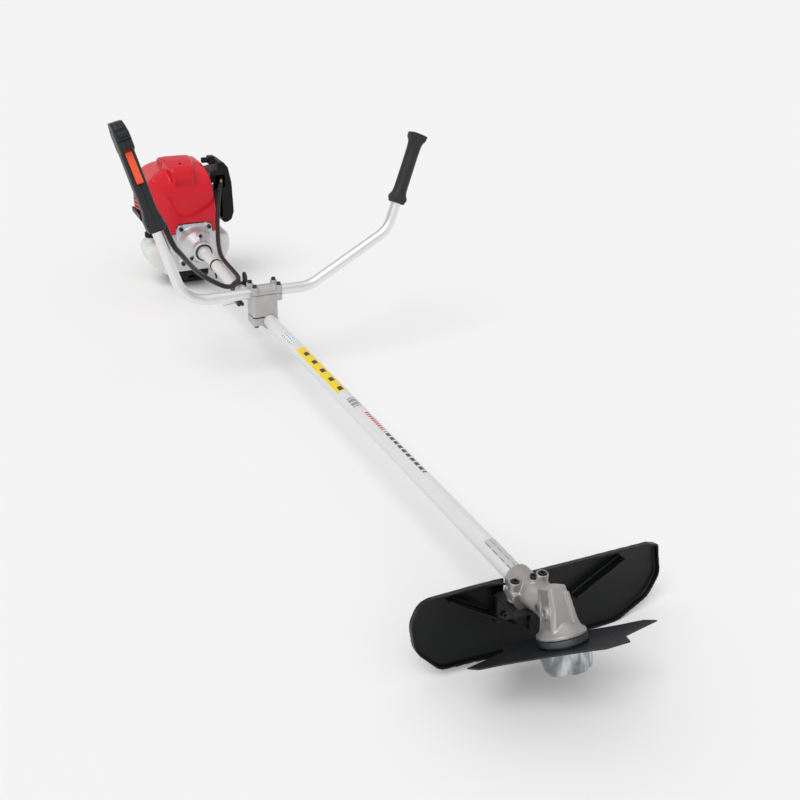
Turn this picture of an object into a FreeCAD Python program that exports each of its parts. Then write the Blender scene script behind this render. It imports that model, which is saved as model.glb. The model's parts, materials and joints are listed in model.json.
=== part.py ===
"""Brush cutter: parametric FreeCAD model, millimetres, +X towards the blade, +Y the operator's left, +Z up.

The origin is the middle of the stand's foot, on the floor.  The drive tube is level.  Each physical piece
is one document object, and its Label names its STEP file.
"""
import FreeCAD, Part
import math
import os
import Sketcher

Vec = FreeCAD.Vector
Turn = FreeCAD.Rotation
Place = FreeCAD.Placement
X_AXIS = Vec(1, 0, 0)
Y_AXIS = Vec(0, 1, 0)
Z_AXIS = Vec(0, 0, 1)
ALONG_X = Turn(Y_AXIS, 90)
FIT = 0.05

DIMENSIONS = [
    ("shaft_height", 126, "drive tube axis above the floor"),
    ("tube_radius", 14, "drive tube, outside"),
    ("tube_bore", 12.5, "drive tube, inside"),
    ("spigot_radius", 12.5, "swaged engine end of the tube, outside"),
    ("spigot_bore", 10.5, "swaged engine end of the tube, inside"),
    ("tube_start", 168, "engine end of the tube"),
    ("tube_step", 289, "where the swaged end widens"),
    ("tube_end", 1658, "head end of the tube, inside the gearcase"),
    ("case_rear", 1616, "rear face of the gearcase"),
    ("shaft_radius", 4, "drive shaft"),
    ("apex_x", 1712.6, "where the drive and output axes cross"),
    ("head_tilt", 32, "output axis leans from the vertical, degrees"),
    ("pinion_teeth", 15, "bevel pinion"),
    ("gear_teeth", 19, "bevel gear"),
    ("cone_length", 21, "bevel gears, outer cone distance"),
    ("band_radius", 32.4, "blade holder and gearcase flange"),
    ("blade_thick", 1.8, "blade steel"),
    ("blade_level", 31.4, "apex to the blade's upper face"),
    ("cup_top", 35, "stabiliser cup, radius at the rim"),
    ("cup_base", 30, "stabiliser cup, radius at the ground face"),
    ("cup_depth", 65.6, "apex to the cup's ground face"),
    ("bar_x", 644.2, "handlebar axis"),
    ("bar_height", 185, "handlebar axis above the floor"),
    ("bar_radius", 11, "handlebar, outside"),
    ("bar_bore", 9, "handlebar, inside"),
    ("bar_lean", 10, "handlebar plane leans back, degrees"),
    ("clamp_length", 42, "handlebar clamp along the tube"),
    ("grip_radius", 15.2, "left grip"),
    ("grip_length", 153, "left grip"),
    ("conduit_radius", 5.4, "throttle cable conduit"),
    ("guard_x", 1606, "guard's upper edge"),
    ("guard_wall", 3, "guard wall"),
    ("guard_bend", 250, "radius of the guard's curl towards the blade"),
    ("blade_swing", 131.5, "room kept clear for the blade, radius"),
    ("housing_face", 193, "front ring of the clutch housing"),
    ("case_face", 105, "front face of the crankcase"),
    ("drum_radius", 35, "clutch drum, outside"),
    ("crank_radius", 8, "crankshaft journals"),
    ("cylinder_bore", 19.5, "cylinder, radius"),
    ("flywheel_radius", 46, "flywheel fan"),
    ("cover_wall", 2.2, "top cover wall"),
    ("foot_length", 90, "stand foot"),
    ("foot_width", 90, "stand foot"),
    ("foot_thick", 5, "stand foot"),
    ("eye_radius", 6, "hole of the harness eye"),
    ("eye_thick", 4, "harness eye plate"),
]

DOC = FreeCAD.newDocument("BrushCutter")
SHEET = DOC.addObject("Spreadsheet::Sheet", "Dims")
for sheet_row, (alias, amount, meaning) in enumerate(DIMENSIONS, start=1):
    SHEET.set("A%d" % sheet_row, meaning)
    SHEET.set("B%d" % sheet_row, str(amount))
    SHEET.setAlias("B%d" % sheet_row, alias)
DOC.recompute()

PIECES = []


def dim(name):
    """Read one driving dimension."""
    return float(getattr(SHEET, name))


AXIS_Z = dim("shaft_height")
BAR_LEAN = math.radians(dim("bar_lean"))
BAR_UP = Vec(-math.sin(BAR_LEAN), 0, math.cos(BAR_LEAN))
BAR_CENTRE = Vec(dim("bar_x"), 0, dim("bar_height"))


# ---------------------------------------------------------------- helpers

def val(size):
    """A number, or the value of a sheet expression."""
    if isinstance(size, str):
        return float(SHEET.evalExpression(size))
    return float(size)


def bind(item, **sizes):
    """Set properties, as live expressions where the size is text."""
    for name, size in sizes.items():
        if isinstance(size, str):
            item.setExpression(name, size)
        else:
            setattr(item, name, size)
    return item


def keep(item, label):
    """Register a finished sub-part."""
    item.Label = label
    PIECES.append(item)
    return item


def feature(label, shape, where=None):
    """A sub-part whose shape is built by functions."""
    item = DOC.addObject("Part::Feature", label)
    item.Shape = shape
    item.Placement = where or Place()
    return keep(item, label)


def origin_plane(body, role):
    return [item for item in body.Origin.OriginFeatures if item.Role == role][0]


def new_sketch(body, role):
    sketch = body.newObject("Sketcher::SketchObject", body.Name + "_sketch")
    sketch.AttachmentSupport = [(origin_plane(body, role), "")]
    sketch.MapMode = "FlatFace"
    return sketch


def draw_outline(sketch, points):
    """Closed polygon whose corners are tied to the sketch origin, by expressions where given."""
    corners = [Vec(val(a), val(b), 0) for a, b in points]
    count = len(corners)
    for index in range(count):
        sketch.addGeometry(Part.LineSegment(corners[index], corners[(index + 1) % count]))
    for index in range(count):
        sketch.addConstraint(Sketcher.Constraint("Coincident", index, 2, (index + 1) % count, 1))
        for kind, axis, size in zip(("DistanceX", "DistanceY"), (-2, -1), points[index]):
            if size == 0:
                sketch.addConstraint(Sketcher.Constraint("PointOnObject", index, 1, axis))
                continue
            number = sketch.addConstraint(Sketcher.Constraint(kind, -1, 1, index, 1, val(size)))
            if isinstance(size, str):
                sketch.setExpression("Constraints[%d]" % number, size)


def turned(label, profile, where, finished=True):
    """PartDesign revolution of a (radius, height) profile about the body's Z axis."""
    body = DOC.addObject("PartDesign::Body", label)
    sketch = new_sketch(body, "XZ_Plane")
    draw_outline(sketch, profile)
    spin = body.newObject("PartDesign::Revolution", label + "_turn")
    spin.Profile = sketch
    spin.ReferenceAxis = (sketch, ["V_Axis"])
    spin.Angle = 360
    body.Placement = where
    if finished:
        keep(body, label)
    return body


def pressed(label, outline, thickness, where, finished=True):
    """PartDesign pad of a flat outline."""
    body = DOC.addObject("PartDesign::Body", label)
    sketch = new_sketch(body, "XY_Plane")
    draw_outline(sketch, outline)
    pad = body.newObject("PartDesign::Pad", label + "_pad")
    pad.Profile = sketch
    bind(pad, Length=thickness)
    body.Placement = where
    if finished:
        keep(body, label)
    return body


def rod(name, radius, height, where):
    item = DOC.addObject("Part::Cylinder", name)
    bind(item, Radius=radius, Height=height)
    item.Placement = where
    return item


def tube_piece(name, outer, inner, height, where):
    """Plain ring or tube as a cut of two cylinders."""
    cut = DOC.addObject("Part::Cut", name)
    cut.Base = rod(name + "_outside", outer, height, where)
    cut.Tool = rod(name + "_bore", inner, height, where)
    return cut


def group(label, items):
    compound = DOC.addObject("Part::Compound", label)
    compound.Links = items
    return keep(compound, label)


def on_axis(x, turn=ALONG_X):
    """Placement on the drive axis."""
    return Place(Vec(x, 0, AXIS_Z), turn)


def cyl(radius, length, at, direction=Z_AXIS):
    return Part.makeCylinder(radius, length, Vec(*at), Vec(*direction))


def cone(radius_1, radius_2, length, at, direction=Z_AXIS):
    return Part.makeCone(radius_1, radius_2, length, Vec(*at), Vec(*direction))


def block(x_0, x_1, y_0, y_1, z_0, z_1):
    return Part.makeBox(x_1 - x_0, y_1 - y_0, z_1 - z_0, Vec(x_0, y_0, z_0))


def soft_block(radius, *limits):
    """Box with every edge rounded."""
    box = block(*limits)
    return box.makeFillet(radius, box.Edges)


def edges_along(shape, direction):
    """Straight edges parallel to one direction."""
    found = []
    for edge in shape.Edges:
        if edge.Curve.TypeId != "Part::GeomLine":
            continue
        if edge.tangentAt(edge.FirstParameter).cross(direction).Length < 1e-6:
            found.append(edge)
    return found


def union(shapes):
    return shapes[0].fuse(shapes[1:]).removeSplitter()


def bend_corner(before, corner, after, radius=None):
    """Tangent arc at a corner; without a radius it is as large as the shorter run allows."""
    to_before = before - corner
    to_after = after - corner
    shorter = min(to_before.Length, to_after.Length)
    half_turn = (math.pi - to_before.getAngle(to_after)) / 2
    if radius is None:
        radius = 0.45 * shorter / math.tan(half_turn)
    reach = radius * math.tan(half_turn)
    to_before.normalize()
    to_after.normalize()
    middle = to_before + to_after
    middle.normalize()
    start = corner + to_before * reach
    end = corner + to_after * reach
    top = corner + middle * (radius / math.cos(half_turn) - radius)
    return start, top, end, radius


def bent_wire(points, radii=None, closed=False):
    """Straight runs joined by tangent arcs.  Returns the wire and the radii used."""
    count = len(points)
    corners = range(count) if closed else range(1, count - 1)
    bends = {}
    for index in corners:
        wanted = radii[index] if isinstance(radii, dict) else radii
        bends[index] = bend_corner(points[index - 1], points[index], points[(index + 1) % count], wanted)
    edges = []
    here = bends[count - 1][2] if closed else points[0]
    for index in corners:
        start, top, end, radius = bends[index]
        if (start - here).Length > 1e-6:
            edges.append(Part.LineSegment(here, start).toShape())
        edges.append(Part.Arc(start, top, end).toShape())
        here = end
    if not closed:
        edges.append(Part.LineSegment(here, points[-1]).toShape())
    return Part.Wire(edges), [bends[index][3] for index in corners]


def swept_round(wire, radius):
    """Round bar along a wire."""
    start = wire.Edges[0].valueAt(wire.Edges[0].FirstParameter)
    ahead = wire.Edges[0].tangentAt(wire.Edges[0].FirstParameter)
    ring = Part.Wire([Part.Circle(start, ahead, radius).toShape()])
    return wire.makePipeShell([ring], True, True)


def prism(points, push, radius=None):
    """Extrusion of a flat outline, with rounded corners where a radius is given."""
    if radius is None:
        wire = Part.makePolygon(points + [points[0]])
    else:
        wire = bent_wire(points, radius, closed=True)[0]
    return Part.Face(wire).extrude(push)


def hex_bar(flats, length, at, direction):
    """Hexagon bar, measured across its flats."""
    corner_radius = flats / math.sqrt(3)
    where = Place(Vec(*at), Turn(Z_AXIS, Vec(*direction)))
    corners = []
    for step in range(6):
        angle = math.radians(60 * step)
        corners.append(Vec(corner_radius * math.cos(angle), corner_radius * math.sin(angle), 0))
    bar = prism(corners, Vec(0, 0, length))
    bar.Placement = where
    return bar


def cap_screw(head_radius, head_length, shank_radius, shank_length, at, direction):
    """Socket cap screw: head outwards from the seat, shank inwards, hexagon socket."""
    outward = Vec(*direction)
    seat = Vec(*at)
    head = cyl(head_radius, head_length, seat, outward)
    socket = hex_bar(head_radius, head_length * 0.6, seat + outward * head_length * 0.4, outward)
    return head.cut(socket).fuse(cyl(shank_radius, shank_length, seat, outward * -1)).removeSplitter()


# ---------------------------------------------------------------- drive tube and shaft

def make_drive_tube():
    step = "Dims.tube_step - Dims.tube_start"
    end = "Dims.tube_end - Dims.tube_start"
    turned("main_tube", [
        ("Dims.spigot_bore", 0), ("Dims.spigot_radius", 0), ("Dims.spigot_radius", step + " - 2"),
        ("Dims.tube_radius", step), ("Dims.tube_radius", end), ("Dims.tube_bore", end),
        ("Dims.tube_bore", step + " + 6"), ("Dims.spigot_bore", step + " + 2"),
    ], on_axis(dim("tube_start")))
    bushes = []
    bush_length = 22
    for number in range(5):
        where = on_axis(dim("tube_step") + 60 + 300 * number)
        bushes.append(tube_piece("bush_%d" % number, "Dims.tube_bore", "Dims.shaft_radius + 0.05",
                                 bush_length, where))
    bushes.append(tube_piece("bush_rear", "Dims.spigot_bore", "Dims.shaft_radius + 0.05",
                             bush_length, on_axis(dim("tube_start") + 8)))
    group("shaft_bushes", bushes)


def make_drive_shaft():
    """Solid shaft from the drum's hub to the socket in the pinion."""
    shaft = DOC.addObject("Part::Cylinder", "drive_shaft")
    bind(shaft, Radius="Dims.shaft_radius", Height="Dims.case_rear + 64 - 150")
    shaft.Placement = on_axis(150)
    keep(shaft, "drive_shaft")
    rim = "Dims.drum_radius"
    turned("clutch_drum", [
        ("Dims.shaft_radius", 28), ("Dims.shaft_radius", 42), (6, 42), (6, 25), (rim, 25),
        (rim, 0), (rim + " - 2.5", 0), (rim + " - 2.5", 22), (0, 22), (0, 28),
    ], on_axis(122))


def bevel_gear_shape(teeth, cone_angle, phase):
    """Bevel gear with its apex at the origin, teeth towards +Z, scaled to the apex."""
    pitch_radius = dim("cone_length") * math.sin(cone_angle)
    module = 2 * pitch_radius / teeth
    far = dim("cone_length") * math.cos(cone_angle)
    add = math.atan(0.8 * module / dim("cone_length"))
    ded = math.atan(1.25 * module / dim("cone_length"))
    tip = far * math.tan(cone_angle + add)
    root = far * math.tan(cone_angle - ded)
    pitch = 2 * math.pi / teeth
    corners = []
    for tooth in range(teeth):
        middle = tooth * pitch + phase
        for radius, offset in ((root, -0.33), (tip, -0.10), (tip, 0.10), (root, 0.33)):
            angle = middle + offset * pitch
            corners.append(Vec(radius * math.cos(angle), radius * math.sin(angle), far))
    outer = Part.makePolygon(corners + [corners[0]])
    near_scale = 0.6
    shrunk = [corner * near_scale for corner in corners]
    inner = Part.makePolygon(shrunk + [shrunk[0]])
    return Part.makeLoft([inner, outer], True, True), far, root


def bevel_angles():
    """Pitch cone half angles of pinion and gear."""
    between = math.radians(90 - dim("head_tilt"))
    ratio = dim("gear_teeth") / dim("pinion_teeth")
    pinion = math.atan(math.sin(between) / (ratio + math.cos(between)))
    return pinion, between - pinion


def head_place():
    """Local frame of the gear head: origin where the axes cross, +Z up the output axis."""
    return Place(Vec(dim("apex_x"), 0, AXIS_Z), Turn(Y_AXIS, -dim("head_tilt")))


def make_bevel_gears():
    pinion_angle, gear_angle = bevel_angles()
    teeth = int(dim("pinion_teeth"))
    shape, far, root = bevel_gear_shape(teeth, pinion_angle, 0)
    shank = cyl(6, 26, (0, 0, far))
    pinion = union([shape, shank])
    shaft_end = dim("case_rear") + 64
    socket = cyl(dim("shaft_radius"), dim("apex_x") - shaft_end - 13 + 40, (0, 0, dim("apex_x") - shaft_end))
    pinion = pinion.cut(socket)
    turn = Turn(X_AXIS, Y_AXIS, Vec(-1, 0, 0), "ZXY")
    feature("bevel_pinion", pinion, Place(Vec(dim("apex_x"), 0, AXIS_Z), turn))
    teeth = int(dim("gear_teeth"))
    shape, far, root = bevel_gear_shape(teeth, gear_angle, math.pi + math.pi / teeth)
    gear = union([shape, cyl(8, 8.5, (0, 0, far))]).cut(cyl(5, 40, (0, 0, 0)))
    feature("bevel_gear", gear, head_place())


# ---------------------------------------------------------------- gear head

def rounded_section(half_x, half_y, z, radius=6):
    corners = [Vec(-half_x, -half_y, z), Vec(half_x, -half_y, z),
               Vec(half_x, half_y, z), Vec(-half_x, half_y, z)]
    return bent_wire(corners, radius, closed=True)[0]


PLUG_AT = (1, -18, 12)
LUG_X = 1643
LUG_Y = 21.5
LUG_TOP = 143
BRACKET_TOP = 104
LOCATOR_X = 1652


def make_gearcase():
    head = head_place()
    column = Part.makeLoft([rounded_section(18.5, 24.5, -16), rounded_section(16, 19.5, 42)], True, True)
    foot = union([cyl(dim("band_radius"), 5.2, (0, 0, -20.2)), cone(31, 20, 12, (0, 0, -15))])
    front_rib = block(12, 19.5, 12, 19, -14, 34)
    plug_boss = cyl(8, 10, PLUG_AT, (0, -1, 0))
    local = union([column, foot, front_rib, plug_boss])
    local.Placement = head
    arm = union([
        cyl(19.5, 34, (dim("case_rear"), 0, AXIS_Z), X_AXIS),
        cone(19.5, 17.5, 52, (dim("case_rear") + 34, 0, AXIS_Z), X_AXIS),
    ])
    lugs = []
    for side in (-1, 1):
        lugs.append(cyl(8.5, LUG_TOP - BRACKET_TOP, (LUG_X, side * LUG_Y, BRACKET_TOP)))
    saddle = block(LUG_X - 8.5, LUG_X + 8.5, -LUG_Y, LUG_Y, BRACKET_TOP, AXIS_Z + 8)
    case = union([local, arm, saddle, cyl(6, 22, (LOCATOR_X, 0, AXIS_Z))] + lugs)
    tools = [
        cyl(dim("tube_radius"), 43, (dim("case_rear") - 1, 0, AXIS_Z), X_AXIS),
        cyl(13, 47, (dim("case_rear") + 40, 0, AXIS_Z), X_AXIS),
    ]
    for radius, low, high in ((13.2, -10, 27), (16, -20.5, -9), (11, 26, 34)):
        bore = cyl(radius, high - low, (0, 0, low))
        bore.Placement = head
        tools.append(bore)
    return case.cut(tools)


def make_head_fasteners():
    lug_screws = []
    for side in (-1, 1):
        lug_screws.append(cap_screw(5, 5, 3, 45, (LUG_X, side * LUG_Y, LUG_TOP - 4), (0, 0, 1)))
    locator = cap_screw(4.5, 4.5, 2.5, 7.8, (LOCATOR_X, 0, AXIS_Z + 22), (0, 0, 1))
    guard_screws = []
    for side in (-1, 1):
        screw = cap_screw(4.5, 4.5, 2.5, 10, (side * 18, -52, 8), (0, 0, 1))
        screw.Placement = guard_place()
        guard_screws.append(screw)
    plug = hex_bar(9, 5, (PLUG_AT[0], PLUG_AT[1] - 10, PLUG_AT[2]), (0, -1, 0))
    plug = union([plug, cyl(4, 8, (PLUG_AT[0], PLUG_AT[1] - 2, PLUG_AT[2]), (0, -1, 0))])
    plug.Placement = head_place()
    return lug_screws + [locator], guard_screws, plug


def make_bearings():
    rings = [
        ("pinion_bearing_rear", 13, 6 + FIT, 8, on_axis(1669)),
        ("pinion_bearing_front", 13, 6 + FIT, 8, on_axis(1679)),
        ("drum_bearing", 12.5, 6 + FIT, 8, on_axis(dim("case_face") + 48)),
    ]
    head = head_place()
    rings.append(("output_bearing_low", 16, 7.5 + FIT, 10, head.multiply(Place(Vec(0, 0, -19.4), Turn()))))
    rings.append(("output_bearing_top", 11, 5 + FIT, 7, head.multiply(Place(Vec(0, 0, 27), Turn()))))
    group("bearings", [tube_piece(name, outer, inner, depth, where)
                            for name, outer, inner, depth, where in rings])


def below(level):
    """A depth below the apex, counted from the spindle's foot."""
    return "Dims.cup_depth - %s" % level


def make_spindle():
    """Everything that turns with the blade.  Heights count up from the cup's ground face."""
    head = head_place()
    foot = head.multiply(Place(Vec(0, 0, -dim("cup_depth")), Turn()))
    shaft = 7.5
    seat = "Dims.cup_depth - Dims.blade_level"
    under = seat + " - Dims.blade_thick"
    turned("output_shaft", [
        (0, 12), (shaft, 12), (shaft, "Dims.cup_depth - 8.9"), (5, "Dims.cup_depth - 8.9"),
        (5, "Dims.cup_depth + 33.5"), (0, "Dims.cup_depth + 33.5"),
    ], foot)
    turned("blade_holder", [
        (shaft, under), (12.65, under), (12.65, seat), (26, seat), (26, below(28.4)),
        ("Dims.band_radius", below(28.4)), ("Dims.band_radius", below(20.8)), (30.4, below(20.8)),
        (30.4, below(26)), (11, below(26)), (11, below(20.6)), (shaft, below(20.6)),
    ], foot)
    turned("lower_holder", [
        (shaft, below(38.4)), (14, below(38.4)), (14, below(35.2)), (28, below(35.2)),
        (28, under), (shaft, under),
    ], foot)
    turned("stabiliser_cup", [
        (shaft, below(40)), (16, below(40)), (16, 2), (18, 0), (27, 0),
        ("Dims.cup_base", 2.5), ("Dims.cup_base + 1", 6), ("Dims.cup_top", below(34.2)),
        ("Dims.cup_top - 1.6", below(34.2)), ("Dims.cup_base - 0.6", 6), (27, 1.6), (19, 1.6),
        (17.6, 3), (17.6, below(38.4)), (shaft, below(38.4)),
    ], foot)
    nut = hex_bar(19, 11, (0, 0, 14.6), (0, 0, 1)).cut(cyl(shaft, 20, (0, 0, 10)))
    feature("blade_nut", nut, foot)
    half = [(35, 122), (15, 116), (0, 87), (-31, 42), (-65, -1), (-75, -11), (-80, -44), (-52, -58)]
    outline = half + [(-x, -y) for x, y in half]
    level = Place(Vec(0, 0, -dim("blade_level") - dim("blade_thick")), Turn())
    blank = pressed("blade_blank", outline, "Dims.blade_thick", head.multiply(level), finished=False)
    hole = rod("blade_bore", 12.7, 12, head.multiply(Place(Vec(0, 0, -38), Turn())))
    blade = DOC.addObject("Part::Cut", "blade")
    blade.Base = blank
    blade.Tool = hole
    keep(blade, "blade")


# ---------------------------------------------------------------- guard

GUARD_LEAN = 7.3
GUARD_OUTLINE = [
    (-143, 4), (-156, -31), (-150, -75), (-116, -110), (-20, -117), (100, -122), (178, -124),
    (238, -102), (261, -72), (250, -20), (232, -14), (40, -4), (-60, 2),
]
GUARD_CORNERS = [22, 40, 40, 26, 300, 300, 60, 40, 26, 8, 3, 300, 300]
PAD_FRONT = 4


def guard_place():
    """Local frame of the guard: +X along the machine's +Y, +Y up the wall, +Z forwards."""
    lean = math.radians(GUARD_LEAN)
    up = Vec(-math.sin(lean), 0, math.cos(lean))
    return Place(Vec(dim("guard_x"), 0, AXIS_Z - 4), Turn(Y_AXIS, up, Y_AXIS.cross(up), "ZXY"))


def guard_shell(depth):
    """Curved slab of the wall's own thickness or of a rib's depth."""
    bend = dim("guard_bend")
    sag = 8
    middle = -62.5
    start = Vec(-300, middle, bend - sag)
    outer = Part.makeCylinder(bend, 700, start, X_AXIS)
    return outer.cut(Part.makeCylinder(bend - depth, 700, start, X_AXIS))


def strip(start, end, width):
    """Thin rib outline from point to point, standing in the wall's normal direction."""
    a = Vec(start[0], start[1], -30)
    b = Vec(end[0], end[1], -30)
    across = (b - a).cross(Z_AXIS).normalize() * (width / 2)
    return prism([a + across, b + across, b - across, a - across], Vec(0, 0, 60))


def make_guard():
    wall = dim("guard_wall")
    points = [Vec(x, y, -30) for x, y in GUARD_OUTLINE]
    radii = dict(enumerate(GUARD_CORNERS))
    for number, radius in radii.items():
        before = points[number - 1]
        after = points[(number + 1) % len(points)]
        largest = bend_corner(before, points[number], after)[3]
        radii[number] = min(radius, largest)
    wire = bent_wire(points, radii, closed=True)[0]
    face = Part.Face(wire)
    slab = face.extrude(Vec(0, 0, 60))
    inner = face.makeOffset2D(-wall).extrude(Vec(0, 0, 60))
    rim = slab.cut(inner).common(guard_shell(16))
    sheet = slab.common(guard_shell(wall))
    ribs = [
        strip((-104, -4), (6, -80), wall),
        strip((186, -24), (104, -66), wall),
        strip((-30, -28), (-30, -96), wall),
        strip((30, -28), (30, -96), wall),
    ]
    ribs = Part.makeCompound(ribs).common(guard_shell(12)).common(slab)
    pad = block(-28.5, 28.5, -66, -26, -6, PAD_FRONT)
    guard = union([sheet, rim, ribs, pad])
    notch = block(-20, 20, -24, 40, -40, 40)
    guard = guard.cut(notch)
    guard.Placement = guard_place()
    swing = cyl(dim("blade_swing"), 20, (0, 0, -dim("blade_level") - 11))
    swing.Placement = head_place()
    return guard.cut(swing)


def make_guard_bracket():
    """Steel angle: a flat under the gearcase lugs, a leg down the guard's pad."""
    flat = block(dim("guard_x") + 8, 1666, -30.5, 30.5, BRACKET_TOP - 4, BRACKET_TOP)
    leg = block(-27, 27, -64, -14, PAD_FRONT, PAD_FRONT + 4)
    leg.Placement = guard_place()
    keep_below = block(1500, 1800, -60, 60, 0, BRACKET_TOP)
    return union([flat, leg.common(keep_below)])


def make_head_and_guard():
    lug_screws, guard_screws, plug = make_head_fasteners()
    bracket = make_guard_bracket().cut(lug_screws + guard_screws)
    guard = make_guard().cut(guard_screws)
    case = make_gearcase().cut(lug_screws + [plug] + head_recesses())
    feature("gearcase", case)
    feature("guard_bracket", bracket)
    feature("grease_plug", plug)
    feature("head_screws", Part.makeCompound(lug_screws))
    feature("guard_screws", Part.makeCompound(guard_screws))
    feature("guard", guard)


def head_recesses():
    """Counterbores round the two lug screws."""
    return [cyl(6, 10, (LUG_X, side * LUG_Y, LUG_TOP - 4)) for side in (-1, 1)]


# ---------------------------------------------------------------- handlebar and its clamp

HANDLE_BASE = (-211.5, 149)
GRIP_BASE = (312, 154)
BAR_CORNERS = [(-173, 0), (97, 0), (288, 98)]
BAR_BENDS = {1: 62, 2: 80, 3: 60}
BAR_IN_HANDLE = 88
BAR_IN_GRIP = 145


def bar_point(across, height):
    """A point of the handlebar's plane: along +Y and up the lean."""
    return BAR_CENTRE + Y_AXIS * across + BAR_UP * height


def run_place(start, corner):
    """Local frame on a straight end of the bar: +Z up the grip, +X forwards out of the bar's plane."""
    base = bar_point(*start)
    upward = (base - bar_point(*corner)).normalize()
    forward = Y_AXIS.cross(BAR_UP)
    return Place(base, Turn(forward, upward.cross(forward), upward, "ZXY"))


def handle_place():
    return run_place(HANDLE_BASE, BAR_CORNERS[0])


def grip_place():
    return run_place(GRIP_BASE, BAR_CORNERS[2])


def make_handlebar():
    first = handle_place().multVec(Vec(0, 0, BAR_IN_HANDLE))
    last = grip_place().multVec(Vec(0, 0, BAR_IN_GRIP))
    points = [first] + [bar_point(*corner) for corner in BAR_CORNERS] + [last]
    wire = bent_wire(points, BAR_BENDS)[0]
    bar = swept_round(wire, dim("bar_radius")).cut(swept_round(wire, dim("bar_bore")))
    feature("handlebar", bar)
    turned("left_grip", [
        ("Dims.bar_radius", 0), (18, 0), (21.6, 5), (21.6, 13), (17, 22), ("Dims.grip_radius", 34),
        ("Dims.grip_radius", "Dims.grip_length - 26"), (16.4, "Dims.grip_length - 17"),
        (20.6, "Dims.grip_length - 11"), (20.6, "Dims.grip_length - 3"), (17, "Dims.grip_length"),
        (0, "Dims.grip_length"), (0, BAR_IN_GRIP), ("Dims.bar_radius", BAR_IN_GRIP),
    ], grip_place())


CLAMP_SCREWS_Y = (-29.7, 22.3)
CLAMP_SCREWS_X = 15.5
CLAMP_SEAM = 185
CLAMP_TOP = 203
PINCH_Y = -27
PINCH_X = 12
LUG_FLOOR = 118


def make_bar_clamp():
    bar_x = dim("bar_x")
    half = dim("clamp_length") / 2
    gap = 0.4
    bar_bore = cyl(dim("bar_radius"), 120, (bar_x, -60, dim("bar_height")), Y_AXIS)
    tube_bore = cyl(dim("tube_radius"), 80, (bar_x - 40, 0, AXIS_Z), X_AXIS)
    screws = []
    posts_low = []
    posts_high = []
    for y in CLAMP_SCREWS_Y:
        for x in (bar_x - CLAMP_SCREWS_X, bar_x + CLAMP_SCREWS_X):
            screws.append(cap_screw(4.6, 5, 2.6, 30, (x, y, CLAMP_TOP), (0, 0, 1)))
            posts_low.append(cyl(7.2, 15 - gap, (x, y, CLAMP_SEAM - 15)))
            posts_high.append(cyl(7.2, CLAMP_TOP - CLAMP_SEAM - gap, (x, y, CLAMP_SEAM + gap)))
    pinch = []
    for x in (bar_x - PINCH_X, bar_x + PINCH_X):
        pinch.append(cap_screw(4.6, 5, 2.6, 34, (x, PINCH_Y, LUG_FLOOR), (0, 0, -1)))
    table = block(bar_x - half, bar_x + half, -36, 29, CLAMP_SEAM - 15, CLAMP_SEAM - gap)
    table = table.makeFillet(6, edges_along(table, Z_AXIS))
    cheek = block(bar_x - half, bar_x + half, -35.5, 0, LUG_FLOOR, 172)
    cheek = cheek.makeFillet(5, edges_along(cheek, Z_AXIS))
    web = block(bar_x - half, bar_x + half, -20, 17.5, AXIS_Z, 172)
    jaw = cyl(18.5, 2 * half, (bar_x - half, 0, AXIS_Z), X_AXIS)
    slot = block(bar_x - 40, bar_x + 40, -60, -10, 134.5, 137.5)
    base = union([table, cheek, web, jaw] + posts_low).cut([bar_bore, tube_bore, slot] + screws + pinch)
    cap = union([
        cyl(16.5, 65, (bar_x, -36, dim("bar_height")), Y_AXIS),
        block(bar_x - half, bar_x + half, -36, 29, CLAMP_SEAM + gap, CLAMP_SEAM + 7),
    ] + posts_high)
    cap = cap.cut([bar_bore, block(bar_x - 60, bar_x + 60, -80, 80, 100, CLAMP_SEAM + gap)] + screws)
    feature("clamp_base", base)
    feature("clamp_cap", cap)
    feature("clamp_screws", Part.makeCompound(screws + pinch))


# ---------------------------------------------------------------- throttle handle

TRIGGER_PIVOT = (8, 168)
LOCK_PIVOT = (-12, 146)
SWITCH_PIVOT = (20, 191.5)
SWITCH_RADIUS = 8.8
PIN_RADIUS = 1.5
HANDLE_SECTIONS = [
    (0, -18.5, 20, 21), (8, -21, 22.5, 23), (24, -21, 22.5, 23), (44, -17.5, 17.5, 14.5),
    (157, -17.5, 17.5, 14), (163, -18, 29, 15), (192, -18, 29, 15), (205, -18, 24, 13.5),
    (215, -16, 14, 12.5),
]
CONDUIT_AT = (7, 16.6)
HANDLE_SCREWS = [(15.5, 16), (-13.6, 162), (-5, 200)]


def side_prism(profile, half_width):
    """Profile in the handle's XZ plane, as thick as twice the half width."""
    return prism([Vec(x, -half_width, z) for x, z in profile], Vec(0, 2 * half_width, 0))


def cross_pin(pivot, half_length, radius):
    return cyl(radius, 2 * half_length, (pivot[0], -half_length, pivot[1]), Y_AXIS)


def handle_skin():
    sections = []
    for z, back, front, half_width in HANDLE_SECTIONS:
        radius = 0.62 * min(half_width, (front - back) / 2)
        corners = [Vec(back, -half_width, z), Vec(front, -half_width, z),
                   Vec(front, half_width, z), Vec(back, half_width, z)]
        sections.append(bent_wire(corners, radius, closed=True)[0])
    return Part.makeLoft(sections, True, True)


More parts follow.
